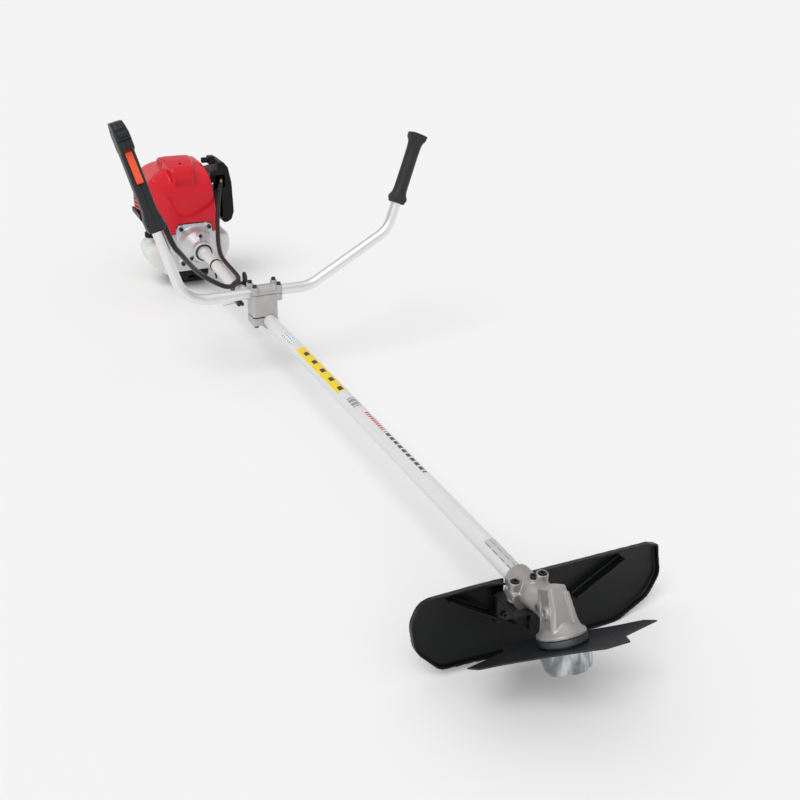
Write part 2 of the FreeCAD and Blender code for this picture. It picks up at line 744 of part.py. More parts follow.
def make_throttle_handle():
    where = handle_place()
    pins = [cross_pin(TRIGGER_PIVOT, 12, PIN_RADIUS), cross_pin(LOCK_PIVOT, 10.5, PIN_RADIUS),
            cross_pin(SWITCH_PIVOT, 12, PIN_RADIUS)]
    screws = []
    for x, z in HANDLE_SCREWS:
        screws.append(cap_screw(2.4, 2, 1.3, 16, (x, -10, z), (0, -1, 0)))
    wells = [cyl(2.6, 20, (x, -10, z), (0, -1, 0)) for x, z in HANDLE_SCREWS]
    skin = handle_skin()
    hollow = [
        cyl(dim("bar_radius"), BAR_IN_HANDLE + 1, (0, 0, -1)),
        block(-10, 15.2, -8, 8, 92, 182),
        block(0, 40, -7.3, 7.3, 95, 163.5),
        block(-40, -5, -5.3, 5.3, 98, 152.5),
        cross_pin(SWITCH_PIVOT, 9.5, SWITCH_RADIUS + 0.5),
        cyl(dim("conduit_radius"), 12, (CONDUIT_AT[0], CONDUIT_AT[1], -1)),
    ]
    for z in (186, 197):
        hollow.append(block(27.6, 40, -20, 20, z - 0.8, z + 0.8))
    shell = skin.cut(hollow + pins + screws + wells)
    for label, low, high in (("handle_shell_outer", -60, 0), ("handle_shell_inner", 0, 60)):
        feature(label, shell.common(block(-60, 60, low, high, -20, 240)), where)
    feature("handle_screws", Part.makeCompound(screws + pins), where)
    trigger = side_prism([(3, 172), (12, 172), (13.5, 163), (17.8, 157), (22.5, 99), (19, 96.5), (9, 110),
                          (6, 150), (3, 162)], 6.7)
    trigger = trigger.cut(cross_pin(TRIGGER_PIVOT, 20, PIN_RADIUS + FIT))
    feature("throttle_trigger", trigger, where)
    lock = side_prism([(-8.5, 150), (-15.5, 150), (-21.5, 104), (-18, 101), (-13, 104), (-9, 140)], 4.7)
    lock = lock.cut(cross_pin(LOCK_PIVOT, 20, PIN_RADIUS + FIT))
    feature("lock_lever", lock, where)
    switch = cross_pin(SWITCH_PIVOT, 9.1, SWITCH_RADIUS)
    switch = switch.cut(cross_pin(SWITCH_PIVOT, 20, PIN_RADIUS + FIT))
    feature("stop_switch", switch, where)


# ---------------------------------------------------------------- harness clamp and throttle cable

HARNESS_X = 460
EYE_CENTRE = (460, 13, 151)
TIE_X = 291
CABLE_ROUTE = [
    (614, -166, 151), (580, -140, 114), (545, -113, 82), (520, -78, 51), (500, -38, 22),
    (462, -8, 26), (412, 6, 25), (352, 13, 20), (291, 18, 19),
    (240, 27, 33), (190, 42, 59), (146, 58, 90), (104, 74, 116), (78, 86, 138),
]


def make_harness():
    width = 24
    band = cyl(17, width, (HARNESS_X - width / 2, 0, AXIS_Z), X_AXIS)
    ears = block(HARNESS_X - width / 2, HARNESS_X + width / 2, -7, 7, AXIS_Z - 38, AXIS_Z - 12)
    eye_plate = cyl(12.5, dim("eye_thick"), EYE_CENTRE, Y_AXIS)
    web = block(HARNESS_X - 12, HARNESS_X + 12, EYE_CENTRE[1], EYE_CENTRE[1] + dim("eye_thick"), AXIS_Z, 148)
    bolt = cap_screw(5, 5, 3, 19, (HARNESS_X, -7, AXIS_Z - 29), (0, -1, 0))
    nut = hex_bar(10, 4, (HARNESS_X, 7, AXIS_Z - 29), (0, 1, 0))
    wire = cyl(0.9, 26, (HARNESS_X, -12, AXIS_Z - 33), (0, -1, -0.1))
    tools = [
        cyl(dim("tube_radius"), 60, (HARNESS_X - 30, 0, AXIS_Z), X_AXIS),
        cyl(dim("eye_radius"), 20, (EYE_CENTRE[0], EYE_CENTRE[1] - 8, EYE_CENTRE[2]), Y_AXIS),
        block(HARNESS_X - 30, HARNESS_X + 30, -1, 1, AXIS_Z - 60, AXIS_Z - 12),
    ]
    bolt = union([bolt, nut, wire])
    feature("harness_clamp", union([band, ears, eye_plate, web]).cut(tools + [bolt]))
    feature("harness_bolt", bolt)


def make_cable():
    """Conduit from the handle's foot, over the tube, back along it and up to the carburettor."""
    exit_low = handle_place().multVec(Vec(CONDUIT_AT[0], CONDUIT_AT[1], -36))
    exit_top = handle_place().multVec(Vec(CONDUIT_AT[0], CONDUIT_AT[1], 11))
    route = [exit_top, exit_low] + [Vec(x, y, z + AXIS_Z) for x, y, z in CABLE_ROUTE]
    wire, radii = bent_wire(route)
    print("cable length %.0f, radii %s" % (wire.Length, " ".join("%.0f" % radius for radius in radii)))
    conduit = swept_round(wire, dim("conduit_radius"))
    expected = math.pi * dim("conduit_radius") ** 2 * wire.Length
    print("cable volume / expected %.4f" % (conduit.Volume / expected))
    feature("throttle_cable", conduit)
    last = route[-1]
    along = (route[-1] - route[-2]).normalize()
    adjuster = union([cyl(3.4, 12, last, along), cyl(2.2, 22, last, along),
                      cyl(4.6, 3, last + along * 5, along)])
    feature("cable_adjuster", adjuster)
    outer = 2.2
    ring = tube_piece("tie_band", "Dims.tube_radius + 1.6", "Dims.tube_radius", 5, on_axis(TIE_X))
    tie_tail = block(TIE_X, TIE_X + 5, -5, 3, AXIS_Z - 23, AXIS_Z - 15.6)
    knot = Part.makeCompound([tie_tail, cyl(outer, 9, (TIE_X + 2.5, -2, AXIS_Z - 32), Z_AXIS)])
    head = DOC.addObject("Part::Feature", "tie_head")
    head.Shape = union(knot.Solids)
    group("cable_ties", [ring, head])


# ---------------------------------------------------------------- engine: clutch end and crankcase

HOUSING_BOLTS = [(36, 43.5), (-36, 43.5), (36, -47), (-36, -47)]
HUB_SCREWS = [(0, 36), (-26, -20), (26, -20)]


def axis_point(x, y, z):
    """A point given by its offset from the drive axis."""
    return (x, y, AXIS_Z + z)


def make_clutch_housing():
    base = dim("case_face")
    face = dim("housing_face")
    plate = prism([Vec(base, -46, AXIS_Z - 57), Vec(base, 46, AXIS_Z - 57), Vec(base, 46, AXIS_Z + 52),
                   Vec(base, -46, AXIS_Z + 52)], Vec(10, 0, 0), 13)
    dome = cone(46.5, 41.5, 40, axis_point(base, 0, 0), X_AXIS)
    nose = cone(41.5, 26, 29, axis_point(base + 40, 0, 0), X_AXIS)
    hub = cyl(26, face - base - 69, axis_point(base + 69, 0, 0), X_AXIS)
    ears = [cyl(8, 16, axis_point(base, y, z), X_AXIS) for y, z in HOUSING_BOLTS]
    bosses = [cyl(6.5, 22, axis_point(base + 40, y, z), X_AXIS) for y, z in HUB_SCREWS]
    bolts = [cap_screw(5.2, 6, 3, 28, axis_point(base + 16, y, z), (1, 0, 0)) for y, z in HOUSING_BOLTS]
    bolts += [cap_screw(4.2, 4, 2.2, 8, axis_point(base + 62, y, z), (1, 0, 0)) for y, z in HUB_SCREWS]
    pockets = [
        cyl(37.5, 44, axis_point(base - 1, 0, 0), X_AXIS),
        cone(37.5, 30, 5, axis_point(base + 43, 0, 0), X_AXIS),
        cyl(12.5, 40, axis_point(base + 40, 0, 0), X_AXIS),
        cyl(20.8, 40, axis_point(base + 61, 0, 0), X_AXIS),
        block(base + 66, face + 5, -1.2, 1.2, AXIS_Z - 60, AXIS_Z),
    ]
    body = union([plate, dome, nose, hub] + ears + bosses)
    feature("clutch_housing", body.cut(pockets + bolts))
    feature("housing_screws", Part.makeCompound(bolts))
    turned("isolator_ring", [
        (16.6, 2), ("Dims.spigot_radius", 2), ("Dims.spigot_radius", 30), (15.4, 30), (16.6, 25), (16.6, 22),
        (20.8, 22), (20.8, 2),
    ], on_axis(base + 62))


def make_crankcase():
    base = dim("case_face")
    box = block(22, base, -60, 60, AXIS_Z - 74, AXIS_Z + 26)
    deck = block(22, base - 4, -40, 40, AXIS_Z + 20, AXIS_Z + 38)
    outer = union([box.makeFillet(8, edges_along(box, X_AXIS)), deck])
    hollow = [
        block(30, base - 6, -50, 50, AXIS_Z - 66, AXIS_Z + 20),
        cyl(30, 66, axis_point(30, 0, 0), X_AXIS),
        cyl(dim("cylinder_bore") + 0.4, 60, axis_point(55, 0, 0)),
        cyl(dim("crank_radius") + FIT, 120, axis_point(0, 0, 0), X_AXIS),
    ]
    for y, z in HOUSING_BOLTS:
        hollow.append(cyl(3, 13, axis_point(base - 12, y, z), X_AXIS))
    return outer, hollow


def make_engine_core():
    base = dim("case_face")
    outer, hollow = make_crankcase()
    posts = [cyl(6, 10, axis_point(base - 14, y, z), X_AXIS) for y, z in HOUSING_BOLTS]
    case = outer.cut(hollow[:3])
    case = union([case] + [post.common(outer) for post in posts]).cut(hollow[3:])
    feature("crankcase", case)
    journal = dim("crank_radius")
    crank = union([
        cyl(journal, 60, axis_point(-15, 0, 0), X_AXIS),
        cyl(27, 7, axis_point(42, 0, 0), X_AXIS),
        cyl(6, 13, axis_point(48, 0, -13), X_AXIS),
        cyl(27, 7, axis_point(60, 0, 0), X_AXIS),
        cyl(journal, 54, axis_point(66, 0, 0), X_AXIS),
        cyl(5, 21, axis_point(119, 0, 0), X_AXIS),
    ])
    feature("crankshaft", crank)
    wheel = union([cyl(dim("flywheel_radius"), 6, axis_point(4, 0, 0), X_AXIS),
                   cyl(14, 20, axis_point(-10, 0, 0), X_AXIS)] + fan_blades())
    feature("flywheel", wheel.cut(cyl(journal, 60, axis_point(-30, 0, 0), X_AXIS)))
    make_clutch_shoes()
    make_cylinder()


def fan_blades():
    blades = []
    count = 14
    for number in range(count):
        blade = block(-9, 4.5, 16, 43, AXIS_Z - 1, AXIS_Z + 1)
        blade.rotate(Vec(0, 0, AXIS_Z), X_AXIS, 360.0 * number / count)
        blades.append(blade)
    return blades


def make_clutch_shoes():
    ring = cyl(31.4, 14, axis_point(125, 0, 0), X_AXIS).cut(cyl(11, 14, axis_point(125, 0, 0), X_AXIS))
    gap = block(120, 145, -60, 60, AXIS_Z - 1.5, AXIS_Z + 1.5)
    carrier = cyl(10.8, 4, axis_point(121, 0, 0), X_AXIS)
    arms = block(121, 124.8, -30, 30, AXIS_Z - 8, AXIS_Z + 8)
    carrier = union([carrier, arms]).cut(cyl(5, 40, axis_point(110, 0, 0), X_AXIS))
    feature("clutch_shoes", Part.makeCompound(ring.cut(gap).Solids + [carrier]))


def make_cylinder():
    low = 38
    barrel = [cyl(25, 112, axis_point(55, 0, low))]
    fin_count = 9
    for number in range(fin_count):
        z = AXIS_Z + low + 6 + 12 * number
        fin = block(20, 90, -36, 36, z, z + 3)
        barrel.append(fin.makeFillet(6, edges_along(fin, Z_AXIS)))
    barrel.append(block(30, 80, -14, 14, AXIS_Z + 146, AXIS_Z + 158))
    barrel.append(block(40, 70, 20, 37, AXIS_Z + 122, AXIS_Z + 146))
    bore = cyl(dim("cylinder_bore"), 62, axis_point(55, 0, low - 1))
    plug_seat = cyl(5, 20, axis_point(55, 0, 145))
    feature("cylinder", union(barrel).cut([bore, plug_seat]))
    ring = "Dims.cylinder_bore - 0.05"
    turned("piston", [(0, 22), (0, 28), (ring, 28), (ring, 0), (16, 0), (16, 22)],
           Place(Vec(55, 0, AXIS_Z + 36), Turn()))
    turned("spark_plug", [(0, 0), (5, 0), (5, 14), (7.5, 14), (7.5, 19), (5, 19), (5, 24), (9, 24), (9, 38),
                          (6, 42), (0, 42)], Place(Vec(55, 0, AXIS_Z + 145), Turn()))


# ---------------------------------------------------------------- engine: covers and fittings

def yz_outline(points, x):
    return [Vec(x, y, AXIS_Z + z) for y, z in points]


COVER_SIDE = [(115, 27), (115, 150), (97, 190), (62, 203), (-14, 199), (-28, 180), (-28, 27)]
COVER_FRONT = [(-67, 27), (-100, 72), (-127, 74), (-130, 110), (-120, 152), (-104, 182), (-62, 200),
               (30, 206), (44, 200), (51, 148), (61, 78), (60, 27)]
COVER_PLAN = [(115, -66), (115, 61), (60, 64), (-28, 58), (-28, -118), (8, -131), (46, -129), (84, -104)]
SHROUD_OUTLINE = [(-70.5, 29.5), (-104, 33), (-122, 60), (-123, 72), (-101.5, 72)]
DOME_SIDE = [(113, 148), (106, 190), (88, 201), (28, 205), (20, 160), (20, 140), (113, 140)]
DOME_FRONT = [(-50, 140), (-56, 196), (-50, 203), (6, 206), (14, 200), (26, 140)]


def offset_profile(points, inset):
    wire = Part.makePolygon(points + [points[0]])
    face = Part.Face(wire)
    if inset:
        face = face.makeOffset2D(-inset)
    return face


def cover_block(inset):
    """The red cover's outside, or its hollow when inset by the wall."""
    side = offset_profile([Vec(x, -200, AXIS_Z + z) for x, z in COVER_SIDE], inset).extrude(Vec(0, 400, 0))
    front = offset_profile(yz_outline(COVER_FRONT, -60), inset).extrude(Vec(240, 0, 0))
    plan = offset_profile([Vec(x, y, 100) for x, y in COVER_PLAN], inset).extrude(Vec(0, 0, 300))
    main = side.common(front).common(plan)
    dome_side = offset_profile([Vec(x, -200, AXIS_Z + z) for x, z in DOME_SIDE], inset)
    dome_front = offset_profile(yz_outline(DOME_FRONT, -60), inset)
    dome = dome_side.extrude(Vec(0, 400, 0)).common(dome_front.extrude(Vec(240, 0, 0)))
    return main.fuse(dome).removeSplitter()


def make_covers():
    wall = dim("cover_wall")
    solid = cover_block(0)
    hollow = cover_block(wall)
    floor_cut = block(-60, 112, -66, 57, AXIS_Z + 20, AXIS_Z + 40)
    rear_cut = block(-60, -20, -56, 54, AXIS_Z + 30, AXIS_Z + 175)
    arch = prism(yz_outline([(-48, 0), (48, 0), (48, 54), (-48, 54)], 94), Vec(30, 0, 0), 14)
    intake_hole = block(24, 76, 42, 70, AXIS_Z + 100, AXIS_Z + 166)
    louvres = []
    for number in range(6):
        z = AXIS_Z + 84 + 10 * number
        louvres.append(block(0, 50, -140, -118, z, z + 4))
    for number in range(5):
        x = 42 + 9 * number
        louvres.append(block(x, x + 4, -62, -48, AXIS_Z + 178, AXIS_Z + 198))
    roof_hole = cyl(4.5, 30, axis_point(84, -21, 185))
    cover = solid.cut([hollow, floor_cut, rear_cut, arch, intake_hole, roof_hole] + louvres)
    feature("top_cover", cover)
    shroud = prism(yz_outline(SHROUD_OUTLINE, -20), Vec(84, 0, 0))
    tray = offset_profile(yz_outline(SHROUD_OUTLINE, -21), 2.4).extrude(Vec(82, 0, 0))
    feature("lower_shroud", shroud.cut(tray))
    muffler = soft_block(7, 6, 70, -112, -64, AXIS_Z + 76, AXIS_Z + 140)
    pipe = cyl(8, 30, axis_point(45, -66, 104), Y_AXIS)
    feature("muffler", union([muffler, pipe]))
    make_recoil()


def make_recoil():
    """Rear housing with its reel and pull grip."""
    front = -28.4
    depth = 43
    shell = union([
        cone(58, 46, depth, axis_point(front, 0, 0), Vec(-1, 0, 0)),
        cyl(64, 5, axis_point(front, 0, 0), Vec(-1, 0, 0)),
    ])
    inner = cone(55, 43, depth - 3, axis_point(front + 0.01, 0, 0), Vec(-1, 0, 0))
    slots = []
    for number in range(12):
        slot = block(front - depth - 2, front - depth + 8, 20, 40, AXIS_Z - 2, AXIS_Z + 2)
        slot.rotate(Vec(0, 0, AXIS_Z), X_AXIS, 30.0 * number + 15)
        slots.append(slot)
    post = cyl(6, 30, axis_point(front - depth + 1, 0, 0), X_AXIS)
    grip_hole = cyl(4, 40, axis_point(-50, 30, 30), Vec(0, 1, 1))
    feature("recoil_cover", union([shell.cut(inner), post]).cut(slots + [grip_hole]))
    reel = union([cyl(30, 2, axis_point(-60, 0, 0), X_AXIS), cyl(24, 12, axis_point(-60, 0, 0), X_AXIS),
                  cyl(30, 2, axis_point(-48, 0, 0), X_AXIS)])
    feature("starter_reel", reel.cut(cyl(6 + FIT, 40, axis_point(-70, 0, 0), X_AXIS)))
    stem = cyl(3.6, 20, axis_point(-50, 36, 36), Vec(0, 1, 1))
    bar = cyl(6, 40, axis_point(-70, 51.5, 51.5), X_AXIS)
    feature("starter_grip", union([stem, bar]))


CLEANER_OUTLINE = [(88, 36), (98, 33), (112, 40), (119, 60), (116, 140), (108, 186), (97, 202), (83, 203),
                   (81.5, 181), (61, 176), (62, 142), (86, 134)]


def make_intake():
    outside = prism(yz_outline(CLEANER_OUTLINE, 5), Vec(70, 0, 0), 5)
    cavity = block(8, 72, 80, 110, AXIS_Z + 46, AXIS_Z + 172)
    window = block(56, 80, 66, 97, AXIS_Z + 128, AXIS_Z + 164)
    feature("air_cleaner_cover", outside.cut([cavity, window]))
    case = union([block(14, 64, 64, 79.5, AXIS_Z + 50, AXIS_Z + 132),
                  block(10, 63.8, 79.5, 85, AXIS_Z + 48, AXIS_Z + 132)])
    lever_pin = cyl(2, 10, axis_point(58, 70, 66), X_AXIS)
    feature("air_cleaner_case", union([case, lever_pin]))
    lever = union([cyl(5.5, 2.6, axis_point(64.4, 70, 66), X_AXIS),
                   block(64.4, 67, 67, 73, AXIS_Z + 40, AXIS_Z + 66)])
    feature("choke_lever", lever.cut(cyl(2 + FIT, 20, axis_point(55, 70, 66), X_AXIS)))
    carburettor = union([
        block(34, 60, 38, 63.8, AXIS_Z + 118, AXIS_Z + 141.4),
        cyl(9, 7, axis_point(47, 47, 140)),
        cyl(8, 8, axis_point(47, 37.2, 131), Y_AXIS),
        cyl(2, 12, axis_point(47, 47, 146)),
        cyl(11, 10, axis_point(47, 47, 108.5)),
    ])
    feature("carburettor", carburettor.cut(block(38, 72, 18, 37.2, AXIS_Z + 110, AXIS_Z + 150)))
    arm = union([cyl(4.5, 3, axis_point(47, 47, 147.4)),
                 block(47, 66, 44.5, 49.5, AXIS_Z + 147.4, AXIS_Z + 149.9)])
    feature("throttle_arm", arm.cut(cyl(2 + FIT, 20, axis_point(47, 47, 140))))
    elbow = union([cyl(7, 32, axis_point(49, 47, 193), Y_AXIS),
                   soft_block(3, 38, 60, 62, 80.5, AXIS_Z + 183, AXIS_Z + 203)])
    feature("breather_elbow", elbow)


TANK_TOP = 3
TANK_OUTLINE = [(-118, TANK_TOP), (-122, -28), (-104, -62), (-58, -95), (58, -95), (100, -62), (118, -26),
                (116, TANK_TOP), (66, TANK_TOP), (64, -77), (-64, -77), (-66, TANK_TOP)]
FILLER = (30, -92)


def make_tank_and_stand():
    outside = prism(yz_outline(TANK_OUTLINE, -14), Vec(88, 0, 0), 4)
    hollow = offset_profile(yz_outline(TANK_OUTLINE, -11), 2.4).extrude(Vec(82, 0, 0))
    neck = cyl(10, 8, axis_point(FILLER[0], FILLER[1], TANK_TOP - 2))
    mouth = cyl(8, 20, axis_point(FILLER[0], FILLER[1], TANK_TOP - 8))
    feature("fuel_tank", union([outside.cut(hollow), neck]).cut(mouth))
    seat = Place(Vec(FILLER[0], FILLER[1], AXIS_Z + TANK_TOP + 0.4), Turn())
    turned("fuel_cap", [(0, 6.4), (10.4, 6.4), (10.4, 0), (14.5, 0), (14.5, 11), (12, 13), (0, 13)], seat)
    floor = dim("foot_thick")
    half_long = dim("foot_length") / 2
    half_wide = dim("foot_width") / 2
    top = AXIS_Z - 77
    foot = DOC.addObject("Part::Box", "stand_foot_plate")
    bind(foot, Length="Dims.foot_length", Width="Dims.foot_width", Height="Dims.foot_thick")
    foot.Placement = Place(Vec(-half_long, -half_wide, 0), Turn())
    tank_top = AXIS_Z - 95
    front_leg = prism([Vec(half_long - 6, -40, floor), Vec(half_long, -40, 0), Vec(84, -40, tank_top + 2),
                       Vec(84, -40, AXIS_Z - 74), Vec(78, -40, AXIS_Z - 74), Vec(78, -40, tank_top)],
                      Vec(0, 80, 0))
    rear_leg = prism([Vec(-half_long, -40, 0), Vec(-half_long + 6, -40, floor), Vec(-20, -40, tank_top),
                      Vec(-20, -40, top + 3), Vec(-26, -40, top + 3), Vec(-26, -40, tank_top)], Vec(0, 80, 0))
    window = soft_block(6, 30, 100, -12, 18, AXIS_Z - 112, AXIS_Z - 97)
    legs = DOC.addObject("Part::Feature", "stand_legs")
    legs.Shape = Part.makeCompound([front_leg.cut(window), rear_leg.cut(window)])
    stand = DOC.addObject("Part::MultiFuse", "stand")
    stand.Shapes = [foot, legs]
    keep(stand, "stand")


# ---------------------------------------------------------------- build and write

def main():
    make_drive_tube()
    make_drive_shaft()
    make_bevel_gears()
    make_head_and_guard()
    make_bearings()
    make_spindle()
    make_handlebar()
    make_bar_clamp()
    make_throttle_handle()
    make_harness()
    make_cable()
    make_clutch_housing()
    make_engine_core()
    make_covers()
    make_intake()
    make_tank_and_stand()


def write_parts():
    DOC.recompute()
    for item in DOC.Objects:
        if "Invalid" in item.State or "Error" in item.State:
            raise RuntimeError("%s failed: %s" % (item.Label, item.State))
    os.makedirs("parts", exist_ok=True)
    for piece in PIECES:
        shape = piece.Shape
        if shape.isNull() or not shape.isValid():
            raise RuntimeError("%s has no valid shape" % piece.Label)
        print("%-20s solids %d  volume %.0f" % (piece.Label, len(shape.Solids), shape.Volume))
        shape.exportStep("parts/%s.step" % piece.Label)


main()
write_parts()
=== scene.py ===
"""Brush cutter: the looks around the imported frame.

Metres, +X towards the blade, +Y operator's left, +Z up.
"""
import json
import math

import bmesh
import bpy
from mathutils import Matrix, Vector


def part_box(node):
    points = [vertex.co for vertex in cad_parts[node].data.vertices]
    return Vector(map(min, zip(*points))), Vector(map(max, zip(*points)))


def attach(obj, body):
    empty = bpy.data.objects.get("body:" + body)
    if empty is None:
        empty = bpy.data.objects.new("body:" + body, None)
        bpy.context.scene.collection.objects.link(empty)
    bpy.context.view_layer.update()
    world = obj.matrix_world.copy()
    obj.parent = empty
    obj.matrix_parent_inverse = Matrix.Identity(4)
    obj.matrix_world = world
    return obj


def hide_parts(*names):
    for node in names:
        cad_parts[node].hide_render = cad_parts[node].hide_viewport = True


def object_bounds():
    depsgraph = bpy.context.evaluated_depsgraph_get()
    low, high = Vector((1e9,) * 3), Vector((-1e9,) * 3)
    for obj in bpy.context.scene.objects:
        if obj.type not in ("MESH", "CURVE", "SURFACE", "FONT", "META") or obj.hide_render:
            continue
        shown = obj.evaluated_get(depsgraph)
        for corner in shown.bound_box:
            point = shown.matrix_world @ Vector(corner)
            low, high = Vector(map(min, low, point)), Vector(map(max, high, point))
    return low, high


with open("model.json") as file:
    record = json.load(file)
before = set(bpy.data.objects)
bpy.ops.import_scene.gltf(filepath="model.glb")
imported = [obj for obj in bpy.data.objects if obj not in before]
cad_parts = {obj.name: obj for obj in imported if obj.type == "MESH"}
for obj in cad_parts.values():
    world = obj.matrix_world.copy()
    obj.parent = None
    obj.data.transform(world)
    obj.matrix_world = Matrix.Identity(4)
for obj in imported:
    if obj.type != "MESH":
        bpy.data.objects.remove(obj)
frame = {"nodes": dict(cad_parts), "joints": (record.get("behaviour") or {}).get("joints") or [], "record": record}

CAD_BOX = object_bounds()
NODES = frame["nodes"]
MM = 0.001
X_AXIS = Vector((1, 0, 0))
Y_AXIS = Vector((0, 1, 0))
Z_AXIS = Vector((0, 0, 1))

AXIS_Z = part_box("main_tube")[0].z / 2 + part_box("main_tube")[1].z / 2
TUBE_RADIUS = (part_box("main_tube")[1].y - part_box("main_tube")[0].y) / 2
BAR_LEAN = math.radians(10)
BAR_CENTRE = Vector((0.6442, 0, 0.185))
BAR_UP = Vector((-math.sin(BAR_LEAN), 0, math.cos(BAR_LEAN)))
HANDLE_BASE = (-0.2115, 0.149)
HANDLE_CORNER = (-0.173, 0)
GRIP_BASE = (0.312, 0.154)
GRIP_CORNER = (0.288, 0.098)


# ---------------------------------------------------------------- materials

EDGE_DOT = 0.965
EDGE_SPREAD = 0.03


class Surface:
    """One material's node tree, worked in object coordinates, in metres."""

    def __init__(self, name):
        self.material = bpy.data.materials.new(name)
        self.material.use_nodes = True
        self.nodes = self.material.node_tree.nodes
        self.links = self.material.node_tree.links
        self.shader = self.nodes["Principled BSDF"]
        self.place = self.nodes.new("ShaderNodeTexCoord").outputs["Object"]

    def join(self, source, target):
        self.links.new(source, target)

    def stretched(self, stretch):
        mapping = self.nodes.new("ShaderNodeMapping")
        mapping.inputs["Scale"].default_value = stretch
        self.join(self.place, mapping.inputs["Vector"])
        return mapping.outputs["Vector"]

    def noise(self, scale, detail=3.0, stretch=(1, 1, 1)):
        texture = self.nodes.new("ShaderNodeTexNoise")
        texture.inputs["Scale"].default_value = scale
        texture.inputs["Detail"].default_value = detail
        self.join(self.stretched(stretch), texture.inputs["Vector"])
        return texture.outputs["Fac"]

    def cells(self, scale):
        texture = self.nodes.new("ShaderNodeTexVoronoi")
        texture.inputs["Scale"].default_value = scale
        self.join(self.place, texture.inputs["Vector"])
        return texture.outputs["Distance"]

    def between(self, value, low, high, start=0.3, end=0.7):
        span = self.nodes.new("ShaderNodeMapRange")
        span.inputs["From Min"].default_value = start
        span.inputs["From Max"].default_value = end
        span.inputs["To Min"].default_value = low
        span.inputs["To Max"].default_value = high
        self.join(value, span.inputs["Value"])
        return span.outputs["Result"]

    def mixed(self, value, first, second):
        """Colour between two colours or colour outputs."""
        mix = self.nodes.new("ShaderNodeMix")
        mix.data_type = "RGBA"
        self.join(value, mix.inputs["Factor"])
        for socket, colour in ((mix.inputs[6], first), (mix.inputs[7], second)):
            if isinstance(colour, bpy.types.NodeSocket):
                self.join(colour, socket)
            else:
                socket.default_value = (*colour, 1)
        return mix.outputs[2]

    def axis_value(self, axis):
        split = self.nodes.new("ShaderNodeSeparateXYZ")
        self.join(self.place, split.inputs["Vector"])
        return split.outputs[axis]

    def math(self, operation, first, second=0.0):
        node = self.nodes.new("ShaderNodeMath")
        node.operation = operation
        for socket, value in zip(node.inputs, (first, second)):
            if isinstance(value, bpy.types.NodeSocket):
                self.join(value, socket)
            else:
                socket.default_value = value
        return node.outputs[0]

    def edges(self, radius):
        """One along sharp outer and inner edges, nought on open surfaces."""
        bevel = self.nodes.new("ShaderNodeBevel")
        bevel.samples = 6
        bevel.inputs["Radius"].default_value = radius
        flat = self.nodes.new("ShaderNodeNewGeometry")
        dot = self.nodes.new("ShaderNodeVectorMath")
        dot.operation = "DOT_PRODUCT"
        self.join(bevel.outputs["Normal"], dot.inputs[0])
        self.join(flat.outputs["Normal"], dot.inputs[1])
        return self.between(dot.outputs["Value"], 1.0, 0.0, EDGE_DOT - EDGE_SPREAD, EDGE_DOT)

    def relief(self, height, depth, strength=1.0, edge=0.0004):
        bump = self.nodes.new("ShaderNodeBump")
        bump.inputs["Distance"].default_value = depth
        bump.inputs["Strength"].default_value = strength
        self.join(height, bump.inputs["Height"])
        if edge:
            bevel = self.nodes.new("ShaderNodeBevel")
            bevel.samples = 4
            bevel.inputs["Radius"].default_value = edge
            self.join(bevel.outputs["Normal"], bump.inputs["Normal"])
        self.join(bump.outputs["Normal"], self.shader.inputs["Normal"])

    def set(self, **values):
        names = {"base": "Base Color", "rough": "Roughness", "metal": "Metallic", "coat": "Coat Weight",
                 "coat_rough": "Coat Roughness", "under": "Subsurface Weight",
                 "under_scale": "Subsurface Scale", "specular": "Specular IOR Level"}
        for key, value in values.items():
            socket = self.shader.inputs[names[key]]
            if isinstance(value, bpy.types.NodeSocket):
                self.join(value, socket)
            elif key == "base":
                socket.default_value = (*value, 1)
            else:
                socket.default_value = value


def painted_tube():
    s = Surface("tube_paint")
    patches = s.noise(14, 4)
    s.set(base=s.mixed(patches, (0.70, 0.70, 0.70), (0.76, 0.76, 0.76)), metal=0.10,
          rough=s.between(s.noise(60, 5), 0.34, 0.44), coat=0.25, coat_rough=0.25)
    s.relief(s.noise(900, 2), 0.00002)
    return s.material


def cast_alloy(name, dark, light, rough=(0.42, 0.56)):
    s = Surface(name)
    clouds = s.noise(45, 6)
    tone = s.mixed(clouds, dark, light)
    worn = s.mixed(s.edges(0.0008), tone, tuple(min(1, c * 1.25) for c in light))
    s.set(base=worn, metal=0.75, rough=s.between(s.noise(240, 4), *rough))
    grains = s.math("ADD", s.noise(1400, 3), s.math("MULTIPLY", s.cells(700), 0.5))
    s.relief(grains, 0.00010, 0.8)
    return s.material


def bright_bar():
    s = Surface("bar_aluminium")
    drawn = s.noise(500, 3)
    s.set(base=s.mixed(s.noise(20), (0.80, 0.80, 0.81), (0.87, 0.87, 0.88)), metal=1.0,
          rough=s.between(drawn, 0.30, 0.40))
    s.relief(drawn, 0.000006, 0.5, edge=0.0)
    return s.material


def zinc_plate():
    """Bright zinc plating with faint yellow spots; the broad pale and dark streaks down the wall are painted
    reflections.
    """
    s = Surface("zinc_plate")
    # Painted reflections: pale and dark streaks of the room's light run down the wall in the base colour.
    painted_reflection_streaks = s.between(s.noise(70, 2, (1, 1, 0.22)), 0.0, 1.0, 0.40, 0.60)
    colour = s.mixed(painted_reflection_streaks, (0.17, 0.20, 0.21), (0.56, 0.59, 0.59))
    spots = s.between(s.noise(60, 5), 0.0, 0.3, 0.5, 0.75)
    s.set(base=s.mixed(spots, colour, (0.66, 0.63, 0.52)), metal=1.0,
          rough=s.between(s.noise(90, 4), 0.14, 0.28))
    s.relief(s.noise(260, 2), 0.00002, 0.3)
    return s.material


def steel(name, dark, light, rough):
    s = Surface(name)
    s.set(base=s.mixed(s.noise(120, 5), dark, light), metal=0.95,
          rough=s.between(s.noise(300, 4), *rough))
    s.relief(s.noise(1800, 2), 0.00002, 0.6)
    return s.material


